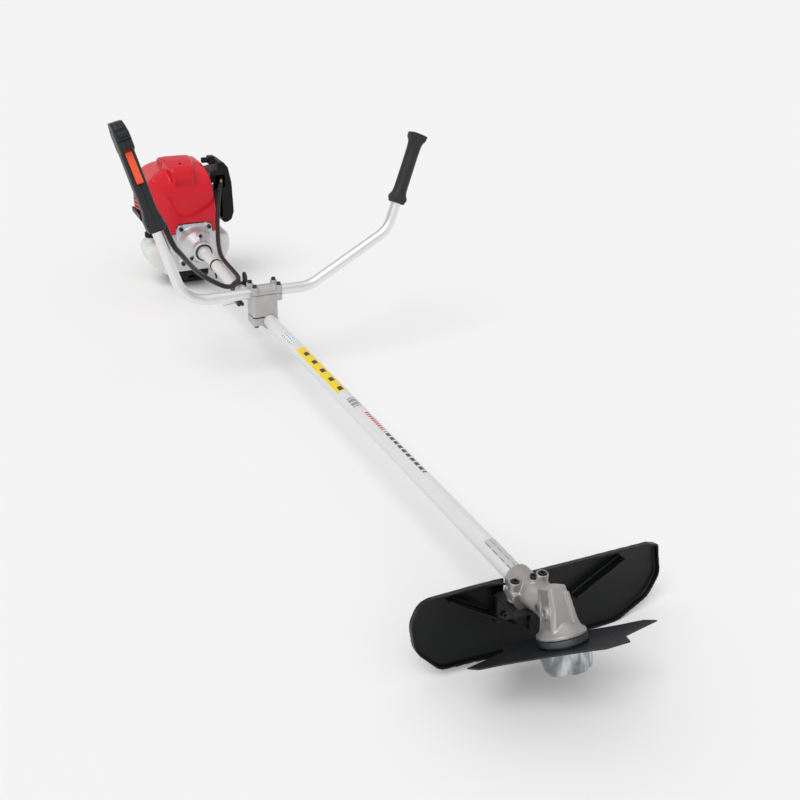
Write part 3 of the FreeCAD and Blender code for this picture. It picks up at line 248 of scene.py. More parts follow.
def blade_paint():
    s = Surface("blade_paint")
    coat = s.mixed(s.noise(30, 5), (0.010, 0.011, 0.013), (0.017, 0.018, 0.021))
    ground = s.mixed(s.edges(0.0012), coat, (0.07, 0.07, 0.08))
    s.set(base=ground, rough=s.between(s.noise(160, 4), 0.40, 0.52), specular=0.3)
    s.relief(s.noise(1100, 3), 0.00004)
    return s.material


def moulded(name, dark, light, rough, grain=0.00006, grain_scale=1500, edge=0.0005, edge_tone=1.8,
            specular=0.32):
    """Black or coloured plastic with a fine eroded grain, paler where edges rub."""
    s = Surface(name)
    tone = s.mixed(s.noise(35, 4), dark, light)
    rubbed = s.mixed(s.edges(0.0007), tone, tuple(min(1, c * edge_tone) for c in light))
    s.set(base=rubbed, rough=s.between(s.noise(220, 4), *rough), specular=specular)
    s.relief(s.cells(grain_scale), grain, 0.7, edge)
    return s.material


def soft_rubber():
    s = Surface("grip_rubber")
    s.set(base=s.mixed(s.noise(50, 4), (0.010, 0.011, 0.012), (0.022, 0.023, 0.025)),
          rough=s.between(s.noise(300, 3), 0.46, 0.60), specular=0.4)
    s.relief(s.noise(1300, 3), 0.00006, 0.7)
    return s.material


def gloss_red():
    s = Surface("gloss_red")
    tone = s.mixed(s.noise(18, 3), (0.60, 0.004, 0.015), (0.67, 0.007, 0.021))
    s.set(base=tone, rough=s.between(s.noise(70, 4), 0.20, 0.28), coat=0.30, coat_rough=0.06, specular=0.2)
    s.relief(s.noise(160, 2), 0.00003, 0.35, edge=0.0006)
    return s.material


def trigger_plastic():
    s = Surface("trigger_plastic")
    s.set(base=s.mixed(s.noise(60, 3), (0.86, 0.065, 0.012), (0.92, 0.095, 0.02)),
          rough=s.between(s.noise(200, 3), 0.25, 0.36), coat=0.4, coat_rough=0.15)
    s.relief(s.noise(900, 2), 0.00003, 0.5)
    return s.material


def tank_plastic():
    s = Surface("tank_plastic")
    s.set(base=s.mixed(s.noise(22, 3), (0.70, 0.70, 0.66), (0.79, 0.79, 0.76)),
          rough=s.between(s.noise(140, 3), 0.30, 0.42), under=0.35, under_scale=0.01, specular=0.4)
    s.relief(s.noise(700, 3), 0.00004, 0.6)
    return s.material


def brass():
    s = Surface("brass")
    s.set(base=s.mixed(s.noise(150, 4), (0.50, 0.32, 0.08), (0.72, 0.50, 0.16)), metal=1.0,
          rough=s.between(s.noise(400, 3), 0.22, 0.38))
    s.relief(s.noise(1500, 2), 0.00002, 0.5)
    return s.material


def plug_china():
    s = Surface("plug_china")
    s.set(base=s.mixed(s.noise(90, 3), (0.76, 0.75, 0.70), (0.84, 0.83, 0.79)),
          rough=s.between(s.noise(200, 3), 0.15, 0.25), coat=0.5, coat_rough=0.08)
    s.relief(s.noise(800, 2), 0.00002, 0.5)
    return s.material


MATERIALS = {
    "tube_grey": painted_tube(),
    "steel": steel("steel", (0.40, 0.40, 0.41), (0.56, 0.56, 0.57), (0.28, 0.42)),
    "screw_steel": steel("screw_steel", (0.035, 0.036, 0.040), (0.085, 0.086, 0.092), (0.30, 0.45)),
    "bush_rubber": moulded("bush_rubber", (0.010, 0.010, 0.011), (0.020, 0.020, 0.022), (0.55, 0.7)),
    "cast_aluminium": cast_alloy("cast_aluminium", (0.36, 0.345, 0.33), (0.46, 0.445, 0.43)),
    "zinc_plate": zinc_plate(),
    "blade_grey": blade_paint(),
    "black_steel": moulded("black_steel", (0.018, 0.018, 0.020), (0.034, 0.034, 0.037), (0.35, 0.5), 0.00003),
    "guard_black": moulded("guard_black", (0.003, 0.0035, 0.004), (0.006, 0.0065, 0.007), (0.30, 0.42),
                           specular=0.2),
    "bar_aluminium": bright_bar(),
    "grip_rubber": soft_rubber(),
    "handle_black": moulded("handle_black", (0.011, 0.013, 0.014), (0.020, 0.022, 0.024), (0.34, 0.46)),
    "trigger_red": trigger_plastic(),
    "cover_red": gloss_red(),
    "conduit_black": moulded("conduit_black", (0.009, 0.009, 0.010), (0.016, 0.016, 0.018), (0.30, 0.42)),
    "brass": brass(),
    "tank_white": tank_plastic(),
    "plug_white": plug_china(),
}
CLAMP_ALLOY = cast_alloy("clamp_alloy", (0.46, 0.45, 0.44), (0.58, 0.57, 0.56), (0.46, 0.60))
HOUSING_ALLOY = cast_alloy("housing_alloy", (0.58, 0.58, 0.59), (0.70, 0.70, 0.71), (0.36, 0.50))
BAND_STEEL = steel("band_steel", (0.10, 0.115, 0.125), (0.17, 0.19, 0.20), (0.34, 0.48))


# ---------------------------------------------------------------- helpers

def new_object(name, mesh):
    item = bpy.data.objects.new(name, mesh)
    bpy.context.scene.collection.objects.link(item)
    return item


def mesh_object(name, vertices, faces):
    mesh = bpy.data.meshes.new(name)
    mesh.from_pydata([tuple(vertex) for vertex in vertices], [], faces)
    mesh.update()
    return new_object(name, mesh)


def applied(item):
    """Turns the item's modifiers into its mesh."""
    graph = bpy.context.evaluated_depsgraph_get()
    mesh = bpy.data.meshes.new_from_object(item.evaluated_get(graph))
    item.modifiers.clear()
    item.data = mesh
    return item


def modifier(item, kind, **settings):
    made = item.modifiers.new(kind.lower(), kind)
    for key, value in settings.items():
        setattr(made, key, value)
    return made


def rounded(item, voxel, rounds):
    """Remeshes to even faces and smooths, so that every edge is rounded over as on a moulding."""
    modifier(item, "REMESH", mode="VOXEL", voxel_size=voxel, adaptivity=0.0)
    modifier(item, "SMOOTH", factor=0.5, iterations=rounds)
    return applied(item)


def shaded(item, angle=None):
    item.data.polygons.foreach_set("use_smooth", [True] * len(item.data.polygons))
    if angle is not None:
        item.data.set_sharp_from_angle(angle=math.radians(angle))
    return item


def placed(item, body, slot, nodes=(), material=None):
    """Gives a new piece its finish, the body it moves with and the CAD nodes it stands for."""
    item.data.materials.clear()
    item.data.materials.append(material or MATERIALS[slot])
    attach(item, body)
    if nodes:
        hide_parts(*nodes)
    return item


def softened(node, voxel, rounds, material=None):
    """A CAD piece as it is cast or moulded: its own shape with rounded edges."""
    item = new_object(node + "_moulded", NODES[node].data.copy())
    shaded(rounded(item, voxel, rounds), 50)
    return placed(item, "frame", SLOT_OF[node], [node], material)


def run_frame(start, corner):
    """Local frame on a straight end of the handlebar: +Z up the grip, +X forwards."""
    base = bar_point(*start)
    return frame_at(base, base - bar_point(*corner), Y_AXIS.cross(BAR_UP))


def bar_point(across, height):
    return BAR_CENTRE + Y_AXIS * across + BAR_UP * height


def skinned(name, rings):
    """Closed skin through equal rings of points."""
    count = len(rings[0])
    vertices = [point for ring in rings for point in ring]
    faces = []
    for row in range(len(rings) - 1):
        for column in range(count):
            after = (column + 1) % count
            faces.append((row * count + column, row * count + after,
                          (row + 1) * count + after, (row + 1) * count + column))
    faces.append(tuple(reversed(range(count))))
    faces.append(tuple((len(rings) - 1) * count + column for column in range(count)))
    return mesh_object(name, vertices, faces)


OVAL_POINTS = 48


def oval_ring(half, height, power=2.0):
    """Superellipse as wide as it is deep: power 2 is a circle, more is squarer."""
    points = []
    for number in range(OVAL_POINTS):
        angle = 2 * math.pi * number / OVAL_POINTS
        c = math.cos(angle)
        s = math.sin(angle)
        points.append(Vector((math.copysign(abs(c) ** (2 / power), c) * half,
                              math.copysign(abs(s) ** (2 / power), s) * half, height)))
    return points


def extruded(name, outline, axis, low, high):
    """Closed prism: the outline's two numbers fill the axes that aren't the push axis."""
    vertices = []
    for depth in (low, high):
        for first, second in outline:
            place = [first, second]
            place.insert(axis, depth)
            vertices.append(Vector(place) * MM + Z_AXIS * AXIS_Z)
    count = len(outline)
    faces = [tuple(range(count)), tuple(range(2 * count - 1, count - 1, -1))]
    for number in range(count):
        after = (number + 1) % count
        faces.append((number, number + count, after + count, after))
    item = mesh_object(name, vertices, faces)
    outward(item)
    return item


def outward(item):
    shape = bmesh.new()
    shape.from_mesh(item.data)
    bmesh.ops.recalc_face_normals(shape, faces=shape.faces)
    shape.to_mesh(item.data)
    shape.free()
    return item


def combined(item, tools, operation):
    """Boolean of one item with others, which are used up."""
    for tool in tools:
        modifier(item, "BOOLEAN", object=tool, operation=operation, solver="EXACT")
        applied(item)
        bpy.data.objects.remove(tool)
    return item


def joined(name, items):
    """One mesh that holds several closed solids."""
    shape = bmesh.new()
    for item in items:
        shape.from_mesh(item.data)
        bpy.data.objects.remove(item)
    mesh = bpy.data.meshes.new(name)
    shape.to_mesh(mesh)
    shape.free()
    return new_object(name, mesh)


def box_solid(name, *limits):
    x_0, x_1, y_0, y_1, z_0, z_1 = limits
    return extruded(name, [(x_0, y_0), (x_1, y_0), (x_1, y_1), (x_0, y_1)], 2, z_0, z_1)


def moved_into(item, where):
    """Takes a solid drawn about the tube's height into a local frame."""
    for vertex in item.data.vertices:
        vertex.co = where @ (vertex.co - Z_AXIS * AXIS_Z)
    return item


def shrunk(item, name, wall):
    """Copy whose surface lies inside the item by the wall."""
    mesh = item.data.copy()
    normals = [vertex.normal.copy() for vertex in mesh.vertices]
    for vertex, normal in zip(mesh.vertices, normals):
        vertex.co -= normal * wall
    return new_object(name, mesh)


def turned(name, profile, matrix, segments=96, wobble=None):
    """Closed profile of (radius, height) turned about the matrix's Z axis."""
    vertices = []
    for number in range(segments):
        angle = 2 * math.pi * number / segments
        for radius, height in profile:
            if wobble:
                radius, height = wobble(radius, height, angle)
            vertices.append(matrix @ Vector((radius * math.cos(angle), radius * math.sin(angle), height)))
    count = len(profile)
    faces = []
    for number in range(segments):
        after = (number + 1) % segments
        for row in range(count):
            below = (row + 1) % count
            faces.append((number * count + row, after * count + row, after * count + below,
                          number * count + below))
    return outward(mesh_object(name, vertices, faces))


def frame_at(origin, up, forward):
    """Matrix with +Z along up and +X as near forward as it can be."""
    up = Vector(up).normalized()
    side = (Vector(forward) - up * up.dot(Vector(forward))).normalized()
    matrix = Matrix((side, up.cross(side), up)).transposed().to_4x4()
    matrix.translation = origin
    return matrix


SLOT_OF = {row["node"]: row["material_slot"] for row in frame["record"]["subparts"]}
DARK_NODES = ("harness_clamp", "grease_plug")


def dress_nodes():
    """Every CAD node that stays visible gets its slot's material."""
    for name, node in NODES.items():
        node.data.materials.clear()
        node.data.materials.append(MATERIALS[SLOT_OF[name]])
    for name in DARK_NODES:
        NODES[name].data.materials[0] = MATERIALS["black_steel"]
    NODES["blade_holder"].data.materials[0] = BAND_STEEL


# ---------------------------------------------------------------- engine

AIR_CLEANER_WAIST = 0.240
AIR_CLEANER_DROP = 0.012


def make_engine_castings():
    softened("clutch_housing", 0.0012, 5, material=HOUSING_ALLOY)
    softened("crankcase", 0.0016, 3, material=HOUSING_ALLOY)
    for node, rounds in (("air_cleaner_cover", 14), ("air_cleaner_case", 3)):
        item = softened(node, 0.0014, rounds)
        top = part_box(node)[1].z
        for vertex in item.data.vertices:
            above = vertex.co.z - AIR_CLEANER_WAIST
            if above > 0:
                vertex.co.z -= AIR_CLEANER_DROP * above / (top - AIR_CLEANER_WAIST)
    softened("lower_shroud", 0.0012, 2)
    softened("recoil_cover", 0.0013, 3)
    softened("muffler", 0.0018, 3)
    softened("breather_elbow", 0.0010, 4)
    softened("stand", 0.0014, 3)


COVER_SIDE = [(115, 27), (115, 118), (114, 131), (111, 143), (105, 155), (96, 166), (84, 175), (66, 183),
              (40, 188), (-14, 192), (-24, 188), (-28, 176), (-28, 27)]
COVER_FRONT = [(-67, 27), (-100, 72), (-120, 74), (-122, 96), (-120, 117), (-115, 136), (-107, 151),
               (-96, 164), (-82, 174), (-64, 181), (-40, 186), (0, 190), (30, 192), (44, 190), (50, 182),
               (53, 165), (57, 120), (61, 78), (60, 27)]
COVER_PLAN = [(115, -50), (114, -64), (110, -76), (102, -88), (90, -98), (74, -106), (54, -113), (30, -119),
              (8, -122), (-28, -114), (-28, 58), (60, 64), (115, 61)]
COVER_CORNER = [(-78, 27), (-104, 66), (-104, 90), (-40, 90), (-40, 27)]
DOME_SIDE = [(104, 118), (111, 150), (115, 168), (112, 184), (100, 195), (70, 202), (28, 206), (14, 196),
             (14, 118)]
DOME_FRONT = [(-62, 118), (-64, 190), (-58, 203), (-40, 206), (10, 206), (22, 203), (28, 190), (26, 118)]
DOME_PLAN = [(117, -36), (112, -45), (70, -53), (20, -61), (10, -58), (10, 22), (20, 25), (70, 17), (112, 9),
             (117, 0)]
ARCH_HALF = 47.5
ARCH_TOP = 55
ARCH_CORNER = 14
ARCH_FOOT = -20
ARCH_STEPS = 6
COVER_REACH = (-60, 180)
CORNER_REACH = (66, 180)
SIDE_REACH = (-200, 200)
PLAN_REACH = (0, 260)
COVER_WALL = 0.0026
COVER_OPENINGS = [("floor_cut", -60, 112, -66, 57, 10, 40), ("rear_cut", -60, -20, -56, 54, 30, 170),
                  ("intake_cut", 24, 76, 42, 80, 100, 166)]
SLOT_PITCH = 9
LOUVRE_LOW = 82
LOUVRE_GAP = 4
VENT_REAR = 24
VENT_GAP = 4.5
ROOF_HOLE = (0.086, -0.018, 0.185)
ROOF_HOLE_RADIUS = 0.0045


def met(name, side, front, plan, reach=COVER_REACH):
    """Solid that three outlines have in common."""
    item = extruded(name, side, 1, *SIDE_REACH)
    return combined(item, [extruded(name + "_front", front, 0, *reach),
                           extruded(name + "_plan", plan, 2, *PLAN_REACH)], "INTERSECT")


def cover_solid():
    """Outside of the red cover: a body, its front corner and a dome, run together."""
    body = met("cover_body", COVER_SIDE, COVER_FRONT, COVER_PLAN)
    corner = met("cover_corner", COVER_SIDE, COVER_CORNER, COVER_PLAN, CORNER_REACH)
    body = rounded(joined("cover_base", [body, corner]), 0.0024, 24)
    hollow = shrunk(body, "cover_hollow", COVER_WALL)
    dome = rounded(met("cover_dome", DOME_SIDE, DOME_FRONT, DOME_PLAN), 0.0024, 10)
    return rounded(joined("red_cover", [body, dome]), 0.0020, 7), hollow


def arch_outline():
    """Doorway with rounded top corners, for the clutch housing's flange."""
    outline = [(-ARCH_HALF, ARCH_FOOT)]
    for side in (-1, 1):
        centre = (side * (ARCH_HALF - ARCH_CORNER), ARCH_TOP - ARCH_CORNER)
        for step in range(ARCH_STEPS + 1):
            part = step if side < 0 else ARCH_STEPS - step
            angle = math.radians(90 * part / ARCH_STEPS)
            outline.append((centre[0] + side * ARCH_CORNER * math.cos(angle),
                            centre[1] + ARCH_CORNER * math.sin(angle)))
    return outline + [(ARCH_HALF, ARCH_FOOT)]


def make_red_cover():
    cover, hollow = cover_solid()
    cuts = [hollow] + [box_solid(name, *limits) for name, *limits in COVER_OPENINGS]
    cuts.append(extruded("arch_cut", arch_outline(), 0, 90, 130))
    for number in range(6):
        low = LOUVRE_LOW + SLOT_PITCH * number
        cuts.append(box_solid("louvre_%d" % number, 0, 50, -140, -108, low, low + LOUVRE_GAP))
    for number in range(4):
        rear = VENT_REAR + SLOT_PITCH * number
        cuts.append(box_solid("dome_vent_%d" % number, rear, rear + VENT_GAP, -70, -46, 184, 198))
    hole = [(0.0001, 0), (ROOF_HOLE_RADIUS, 0), (ROOF_HOLE_RADIUS, 0.03), (0.0001, 0.03)]
    place = Vector(ROOF_HOLE) + Z_AXIS * AXIS_Z
    cuts.append(turned("roof_hole", hole, Matrix.Translation(place), 24))
    combined(cover, cuts, "DIFFERENCE")
    placed(shaded(cover, 60), "frame", "cover_red", ["top_cover"])


TANK_OUTLINE = [(-104, -8), (-116, -28), (-106, -62), (-64, -97), (58, -97), (94, -66), (110, -30), (106, 6),
                (64, 6), (62, -70), (-62, -70), (-64, -8)]
TANK_RUN = (-17, 74)
NECK_PLACE = (0.030, -0.092, -0.019)


def make_tank():
    tank = rounded(extruded("tank_lobes", TANK_OUTLINE, 0, *TANK_RUN), 0.0050, 36)
    modifier(tank, "SUBSURF", levels=1, render_levels=1)
    applied(tank)
    neck = turned("tank_neck", [(0.008, 0), (0.011, 0), (0.011, 0.024), (0.008, 0.024)],
                  Matrix.Translation(Vector(NECK_PLACE) + Z_AXIS * AXIS_Z), 40)
    placed(shaded(joined("fuel_tank_blown", [tank, neck]), 45), "frame", "tank_white", ["fuel_tank"])


def make_isolator_sleeve():
    profile = [(0.0126, 0), (0.0172, 0), (0.0174, 0.0005), (0.0166, 0.009), (0.0158, 0.0096),
               (0.0126, 0.0096)]
    seat = frame_at((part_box("isolator_ring")[1].x - 0.0088, 0, AXIS_Z), X_AXIS, Z_AXIS)
    sleeve = shaded(turned("isolator_sleeve", profile, seat), 40)
    placed(sleeve, "frame", "cast_aluminium", material=HOUSING_ALLOY)


# ---------------------------------------------------------------- bar, grips and clamp

def make_clamp():
    for node in ("clamp_base", "clamp_cap"):
        softened(node, 0.0008, 4, material=CLAMP_ALLOY)


HANDLE_GROOVES = (180.9, 202.1)
GROOVE_FLOOR = 23.5
GROOVE_HALF = 1.3
COLLAR_OUTER = [(0, 0.80), (22, 0.82), (34, 0.86), (46, 1.0)]
COLLAR_INNER = [(0, 0.86), (14, 0.86), (24, 0.80), (34, 0.84), (46, 1.0)]
COLLAR_DEPTH = [(0, 0.86), (22, 0.88), (34, 0.92), (46, 1.0)]


def stepped(place, table):
    """Value at a place, in straight runs between the table's points."""
    if place <= table[0][0]:
        return table[0][1]
    for (start, low), (end, high) in zip(table, table[1:]):
        if place <= end:
            return low + (high - low) * (place - start) / (end - start)
    return table[-1][1]


def make_handle():
    where = run_frame(HANDLE_BASE, HANDLE_CORNER)
    back = where.inverted()
    for node in ("handle_shell_outer", "handle_shell_inner"):
        shell = softened(node, 0.0008, 4)
        grooves = [box_solid("groove", GROOVE_FLOOR, 36, -20, 20, height - GROOVE_HALF, height + GROOVE_HALF)
                   for height in HANDLE_GROOVES]
        combined(shell, [moved_into(groove, where) for groove in grooves], "DIFFERENCE")
        for vertex in shell.data.vertices:
            place = back @ vertex.co
            height = place.z / MM
            place.x *= stepped(height, COLLAR_DEPTH)
            place.y *= stepped(height, COLLAR_OUTER if place.y < 0 else COLLAR_INNER)
            vertex.co = where @ place


GRIP_RINGS = [
    (0, 15.5, 2.6), (1.5, 16.8, 3.0), (6, 17.0, 3.0), (7.5, 18.6, 3.2), (12, 19.2, 3.2), (16, 18.2, 2.8),
    (20, 16.2, 2.2), (28, 15.0, 2.0), (40, 14.7, 2.0), (90, 14.5, 2.0), (128, 14.7, 2.0), (136, 15.6, 2.4),
    (141, 18.0, 3.2), (144, 18.8, 3.6), (150, 19.0, 3.8), (152.2, 19.0, 3.8), (153.1, 18.4, 3.8),
    (153.2, 17.4, 3.6), (153.2, 9, 2.4),
]
GRIP_BORE = 11.05
GRIP_DEPTH = 145
GRIP_MOUTH = 0.6


def make_left_grip():
    rings = [oval_ring(GRIP_BORE, GRIP_DEPTH), oval_ring(GRIP_BORE, GRIP_MOUTH), oval_ring(GRIP_BORE + 1, 0)]
    rings += [oval_ring(half, height, power) for height, half, power in GRIP_RINGS]
    matrix = run_frame(GRIP_BASE, GRIP_CORNER)
    grip = skinned("left_grip_rubber", [[matrix @ (point * MM) for point in ring] for ring in rings])
    outward(grip)
    modifier(grip, "SUBSURF", levels=1, render_levels=1)
    placed(shaded(applied(grip), 60), "frame", "grip_rubber", ["left_grip"])


# ---------------------------------------------------------------- head

HEAD_TILT = math.radians(32)
HEAD_UP = Vector((-math.sin(HEAD_TILT), 0, math.cos(HEAD_TILT)))
APEX = Vector(next(joint["pos_m"] for joint in frame["joints"] if joint["name"] == "blade_spin"))
CUP_DEPTH = 0.0656
CUP_FLUTES = 5

GUARD_ORIGIN = Vector((1.606, 0, AXIS_Z - 0.004))
GUARD_LEAN = math.radians(7.3)
GUARD_UP = Vector((-math.sin(GUARD_LEAN), 0, math.cos(GUARD_LEAN)))
GUARD_BEND = 0.250
GUARD_BEND_CENTRE = (-0.0625, 0.242)
GUARD_RIM = 0.0105
GUARD_PAD_HALF = 0.033
GUARD_RIBS = [((-104, -4), (6, -80)), ((186, -24), (104, -66))]
GUARD_TABS = [(-22, -13.2), (13.2, 22)]
RIB_WIDTH = 3.6
RIB_ROOT = -7
RIB_EDGE = 9
RIB_LIFT = 0.008


def guard_frame():
    """Local frame of the guard: +X to the operator's left, +Y up its wall, +Z towards the blade."""
    matrix = Matrix((Y_AXIS, GUARD_UP, Y_AXIS.cross(GUARD_UP))).transposed().to_4x4()
    matrix.translation = GUARD_ORIGIN
    return matrix


def guard_rib(start, end):
    """Upright plate on the guard's inner face."""
    a = Vector((*start, 0))
    b = Vector((*end, 0))
    across = (b - a).cross(Z_AXIS).normalized() * (RIB_WIDTH / 2)
    corners = (a + across, b + across, b - across, a - across)
    rib = extruded("rib", [(corner.x, corner.y) for corner in corners], 2, RIB_ROOT, RIB_EDGE)
    where = guard_frame()
    for vertex in rib.data.vertices:
        place = vertex.co - Z_AXIS * AXIS_Z
        curl = math.sqrt(GUARD_BEND ** 2 - (place.y - GUARD_BEND_CENTRE[0]) ** 2)
        vertex.co = where @ (place + Z_AXIS * (GUARD_BEND_CENTRE[1] - curl + RIB_LIFT))
    return rib


def make_guard():
    guard = new_object("guard_shell", NODES["guard"].data.copy())
    where = guard_frame()
    back = where.inverted()
    for vertex in guard.data.vertices:
        place = back @ vertex.co
        arm = Vector((0, place.y - GUARD_BEND_CENTRE[0], place.z - GUARD_BEND_CENTRE[1]))
        if abs(place.x) > GUARD_PAD_HALF and GUARD_BEND - arm.length > GUARD_RIM:
            arm *= (GUARD_BEND - GUARD_RIM) / arm.length
            place.y = GUARD_BEND_CENTRE[0] + arm.y
            place.z = GUARD_BEND_CENTRE[1] + arm.z
            vertex.co = where @ place
    ribs = [guard_rib(start, end) for start, end in GUARD_RIBS]
    ribs += [moved_into(box_solid("tab", low, high, -30, -3, -4, 0.5), where) for low, high in GUARD_TABS]
    guard = shaded(rounded(joined("guard_moulding", [guard] + ribs), 0.0011, 3), 50)
    placed(guard, "frame", "guard_black", ["guard"])


SHOULDER = [(-30, 4), (-30, -5), (-25, -14), (-15, -30), (15, -30), (25, -14), (30, -5), (30, 4)]
SHOULDER_RUN = (1631, 1655)
LEG_CUTS = [(1628, 1658, -40, -15, -37, -13), (1628, 1658, 15, 40, -37, -13)]
CASE_WAIST = -0.016
CASE_TOP = 0.014
CASE_NARROW = 0.68
CASE_NECK = 1.662
CASE_NECK_RUN = 0.016


def make_gearcase():
    case = new_object("gearcase_body", NODES["gearcase"].data.copy())
    for vertex in case.data.vertices:
        height = (vertex.co - APEX).dot(HEAD_UP)
        rise = min(1, max(0, (height - CASE_WAIST) / (CASE_TOP - CASE_WAIST)))
        onward = min(1, max(0, (vertex.co.x - CASE_NECK) / CASE_NECK_RUN))
        vertex.co.y *= 1 - (1 - CASE_NARROW) * rise * onward
    combined(case, [box_solid("leg_cut", *limits) for limits in LEG_CUTS], "DIFFERENCE")
    shoulder = rounded(extruded("shoulder", SHOULDER, 0, *SHOULDER_RUN), 0.0011, 10)
    case = shaded(rounded(joined("gearcase_casting", [case, shoulder]), 0.0010, 6), 50)
    placed(case, "frame", "cast_aluminium", ["gearcase"])


FLUTE_DEPTH = 0.0060
FLUTE_SHARPNESS = 2.2
FLUTE_FADE = 0.026
FLUTE_LEFT = 0.18
FLUTED_OUTSIDE = 0.0265
FOOT_BAND = 0.004
FOOT_RISE = 0.0022


def fluted(radius, height, angle):
    """Pressed dents: narrow valleys up the cup's wall that fade out towards its rim."""
    wave = abs(math.cos(angle * CUP_FLUTES / 2))
    dent = (1 - wave) ** FLUTE_SHARPNESS
    near_floor = max(0.0, 1 - height / FLUTE_FADE)
    if radius > FLUTED_OUTSIDE:
        radius -= FLUTE_DEPTH * dent * (FLUTE_LEFT + (1 - FLUTE_LEFT) * near_floor ** 1.5)
    if height < FOOT_BAND:
        height += FOOT_RISE * dent
    return radius, height


def make_cup():
    profile = [
        (7.6, 25.6), (16, 25.6), (16, 2.2), (16.8, 0.8), (18.4, 0), (22, 0), (26.6, 0), (28.8, 0.7),
        (30.2, 2.6), (31.4, 7), (32.4, 12), (33.4, 18), (34.2, 24), (35, 31.4), (33.6, 31.4), (32.8, 24),
        (32.0, 18), (31.0, 12), (30.0, 7), (28.6, 3.2), (26.8, 1.6), (19.2, 1.6), (17.6, 3), (17.6, 27),
        (7.6, 27),
    ]
    foot = frame_at(APEX - HEAD_UP * CUP_DEPTH, HEAD_UP, X_AXIS)
    cup = turned("pressed_cup", [(radius * MM, height * MM) for radius, height in profile], foot, 180, fluted)
    placed(shaded(cup, 50), "spindle", "zinc_plate", ["stabiliser_cup"])


# ---------------------------------------------------------------- labels on the tube

def dashes(s, axis, period, share, shift=0.0):
    """One over the given share of each period along an axis, nought elsewhere."""
    place = s.math("ADD", s.axis_value(axis), shift)
    part = s.math("FRACT", s.math("DIVIDE", place, period))
    return s.math("LESS_THAN", part, share)


def label_film(name, ground, ink, marks):
    """Printed film: rows of plain dashes stand for whatever was printed."""
    s = Surface(name)
    mask = None
    for axis, period, share, shift in marks:
        row = dashes(s, axis, period, share, shift)
        mask = row if mask is None else s.math("MULTIPLY", mask, row)
    tone = s.mixed(s.noise(80, 3), tuple(c * 0.94 for c in ground), ground)
    s.set(base=s.mixed(mask, tone, ink), rough=s.between(s.noise(300, 2), 0.26, 0.34), coat=0.3,
          coat_rough=0.2)
    s.relief(s.noise(600, 2), 0.00001, 0.4, edge=0.0)
    return s.material


FILM_GAP = 0.00002
FILM_STEP = 0.00018
FILM_FACETS = 20
TUBE_TONE = (0.73, 0.73, 0.73)
LABELS = [
    ("size_label", 0.763, 0.812, -8, 44, (0.84, 0.86, 0.87), (0.08, 0.34, 0.62),
     [(0, 0.009, 0.5, 0.0), (1, 0.0052, 0.5, 0.001)]),
    ("notice_label", 0.844, 1.045, -8, 46, (0.90, 0.66, 0.02), (0.03, 0.03, 0.03),
     [(0, 0.040, 0.36, 0.012), (1, 0.05, 0.18, 0.0065)]),
    ("mark_label", 1.077, 1.110, -4, 34, (0.30, 0.30, 0.31), (0.62, 0.62, 0.63), [(0, 0.012, 0.3, 0.0)]),
    ("stripe_red", 1.136, 1.205, 8, 15, TUBE_TONE, (0.60, 0.03, 0.05), [(0, 0.0072, 0.62, 0.0)]),
    ("stripe_dark", 1.212, 1.352, 8, 15, TUBE_TONE, (0.06, 0.06, 0.065), [(0, 0.0145, 0.70, 0.0)]),
    ("head_label", 1.544, 1.615, -2, 36, (0.54, 0.54, 0.55), (0.22, 0.22, 0.23),
     [(0, 0.018, 0.7, 0.0), (1, 0.0075, 0.16, 0.001)]),
]


def make_labels():
    for name, start, end, centre, half, ground, ink, marks in LABELS:
        rings = []
        for radius in (TUBE_RADIUS + FILM_GAP, TUBE_RADIUS + FILM_STEP):
            for x in (start, end):
                ring = []
                for number in range(FILM_FACETS + 1):
                    angle = math.radians(centre - half + 2 * half * number / FILM_FACETS)
                    ring.append(Vector((x, math.sin(angle) * radius, AXIS_Z + math.cos(angle) * radius)))
                rings.append(ring)
        film_ring = [rings[0] + rings[2][::-1], rings[1] + rings[3][::-1]]
        film = outward(skinned(name, film_ring))
        paint = label_film(name + "_film", ground, ink, marks)
        placed(shaded(film, 30), "frame", "tube_grey", material=paint)


# ---------------------------------------------------------------- throttle cable

CABLE_ROUTE = [
    (614, -166, 277), (580, -140, 240), (547, -113, 207), (526, -77, 175), (511, -36, 149),
    (471, 1, 152), (412, 5, 151), (352, 9, 146.5), (291, 13, 146.5),
    (240, 23, 159), (190, 38, 185), (146, 54, 216), (104, 71, 242), (78, 86, 264),
]
CONDUIT_RADIUS = 0.0054
CABLE_EXIT = (0.007, 0.0166)
CABLE_EXIT_RUN = (0.011, -0.036)


def make_cable():
    where = run_frame(HANDLE_BASE, HANDLE_CORNER)
    points = [where @ Vector((*CABLE_EXIT, height)) for height in CABLE_EXIT_RUN]
    points += [Vector(point) * MM for point in CABLE_ROUTE]
    curve = bpy.data.curves.new("throttle_conduit", "CURVE")
    curve.dimensions = "3D"
    spline = curve.splines.new("NURBS")
    spline.points.add(len(points) - 1)
    for point, place in zip(spline.points, points):
        point.co = (*place, 1)
    spline.order_u = 3
    spline.use_endpoint_u = True
    spline.resolution_u = 12
    curve.bevel_depth = CONDUIT_RADIUS
    curve.bevel_resolution = 6
    curve.use_fill_caps = True
    item = new_object("throttle_conduit", curve)
    placed(item, "frame", "conduit_black", ["throttle_cable"])


# ---------------------------------------------------------------- stage

FLOOR_REACH = 40
FLOOR_GAP = 0.0005


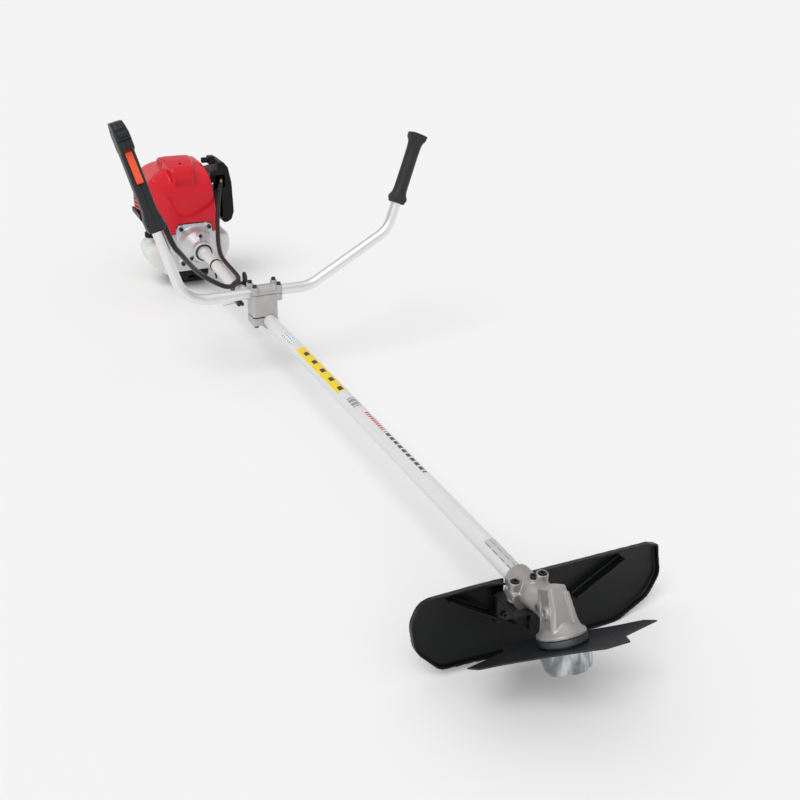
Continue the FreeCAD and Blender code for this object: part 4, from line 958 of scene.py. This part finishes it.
def make_stage():
    floor_material = bpy.data.materials.new("floor_white")
    floor_material.use_nodes = True
    shader = floor_material.node_tree.nodes["Principled BSDF"]
    shader.inputs["Base Color"].default_value = (0.90, 0.90, 0.90, 1)
    shader.inputs["Roughness"].default_value = 0.9
    signs = ((-1, -1), (1, -1), (1, 1), (-1, 1))
    corners = [(side * FLOOR_REACH, end * FLOOR_REACH, 0) for side, end in signs]
    floor = mesh_object("floor", corners, [(0, 1, 2, 3)])
    floor.location.z = CAD_BOX[0].z - FLOOR_GAP
    floor.data.materials.append(floor_material)
    bpy.context.scene.view_settings.view_transform = "Standard"


SKY = [(0.0, 0.72), (0.30, 0.70), (0.46, 0.34), (0.62, 0.48), (0.85, 0.86)]


def make_sky():
    """Pale room, lit by height above the horizon: a ceiling light over a dimmer wall."""
    world = bpy.data.worlds.new("studio")
    world.use_nodes = True
    nodes = world.node_tree.nodes
    links = world.node_tree.links
    split = nodes.new("ShaderNodeSeparateXYZ")
    links.new(nodes.new("ShaderNodeTexCoord").outputs["Generated"], split.inputs["Vector"])
    ramp = nodes.new("ShaderNodeValToRGB")
    stops = ramp.color_ramp.elements
    while len(stops) < len(SKY):
        stops.new(0.5)
    for stop, (height, tone) in zip(stops, SKY):
        stop.position = height
        stop.color = (tone, tone, tone, 1)
    links.new(split.outputs["Z"], ramp.inputs["Fac"])
    links.new(ramp.outputs["Color"], nodes["Background"].inputs["Color"])
    bpy.context.scene.world = world


def add_sun(name, direction, strength, spread):
    light = bpy.data.lights.new(name, "SUN")
    light.energy = strength
    light.angle = math.radians(spread)
    item = new_object(name, light)
    item.rotation_euler = Vector(direction).to_track_quat("-Z", "Y").to_euler()


def make_lights():
    add_sun("key_light", (-0.35, 0.55, -1.0), 1.15, 35)
    add_sun("fill_light", (-0.9, 0.25, -0.6), 0.25, 60)


CAMERA_PLACE = (2.4755, -0.6422, 0.9285)
CAMERA_AZIMUTH = -27.9
CAMERA_ELEVATION = 27.2
CAMERA_ROLL = 2.3
CAMERA_LENS = 44.0
CAMERA_SENSOR = 36


def make_camera():
    azimuth = math.radians(CAMERA_AZIMUTH)
    elevation = math.radians(CAMERA_ELEVATION)
    roll = math.radians(CAMERA_ROLL)
    back = Vector((math.cos(elevation) * math.cos(azimuth), math.cos(elevation) * math.sin(azimuth),
                   math.sin(elevation)))
    level = (-back).cross(Z_AXIS).normalized()
    upright = level.cross(-back)
    right = level * math.cos(roll) + upright * math.sin(roll)
    up = upright * math.cos(roll) - level * math.sin(roll)
    data = bpy.data.cameras.new("camera")
    data.lens = CAMERA_LENS
    data.sensor_width = CAMERA_SENSOR
    item = new_object("camera", data)
    matrix = Matrix((right, up, back)).transposed().to_4x4()
    matrix.translation = CAMERA_PLACE
    item.matrix_world = matrix
    bpy.context.scene.camera = item


make_camera()
make_stage()
make_sky()
make_lights()
dress_nodes()
make_engine_castings()
make_red_cover()
make_tank()
make_isolator_sleeve()
make_clamp()
make_handle()
make_left_grip()
make_gearcase()
make_guard()
make_cup()
make_cable()
make_labels()
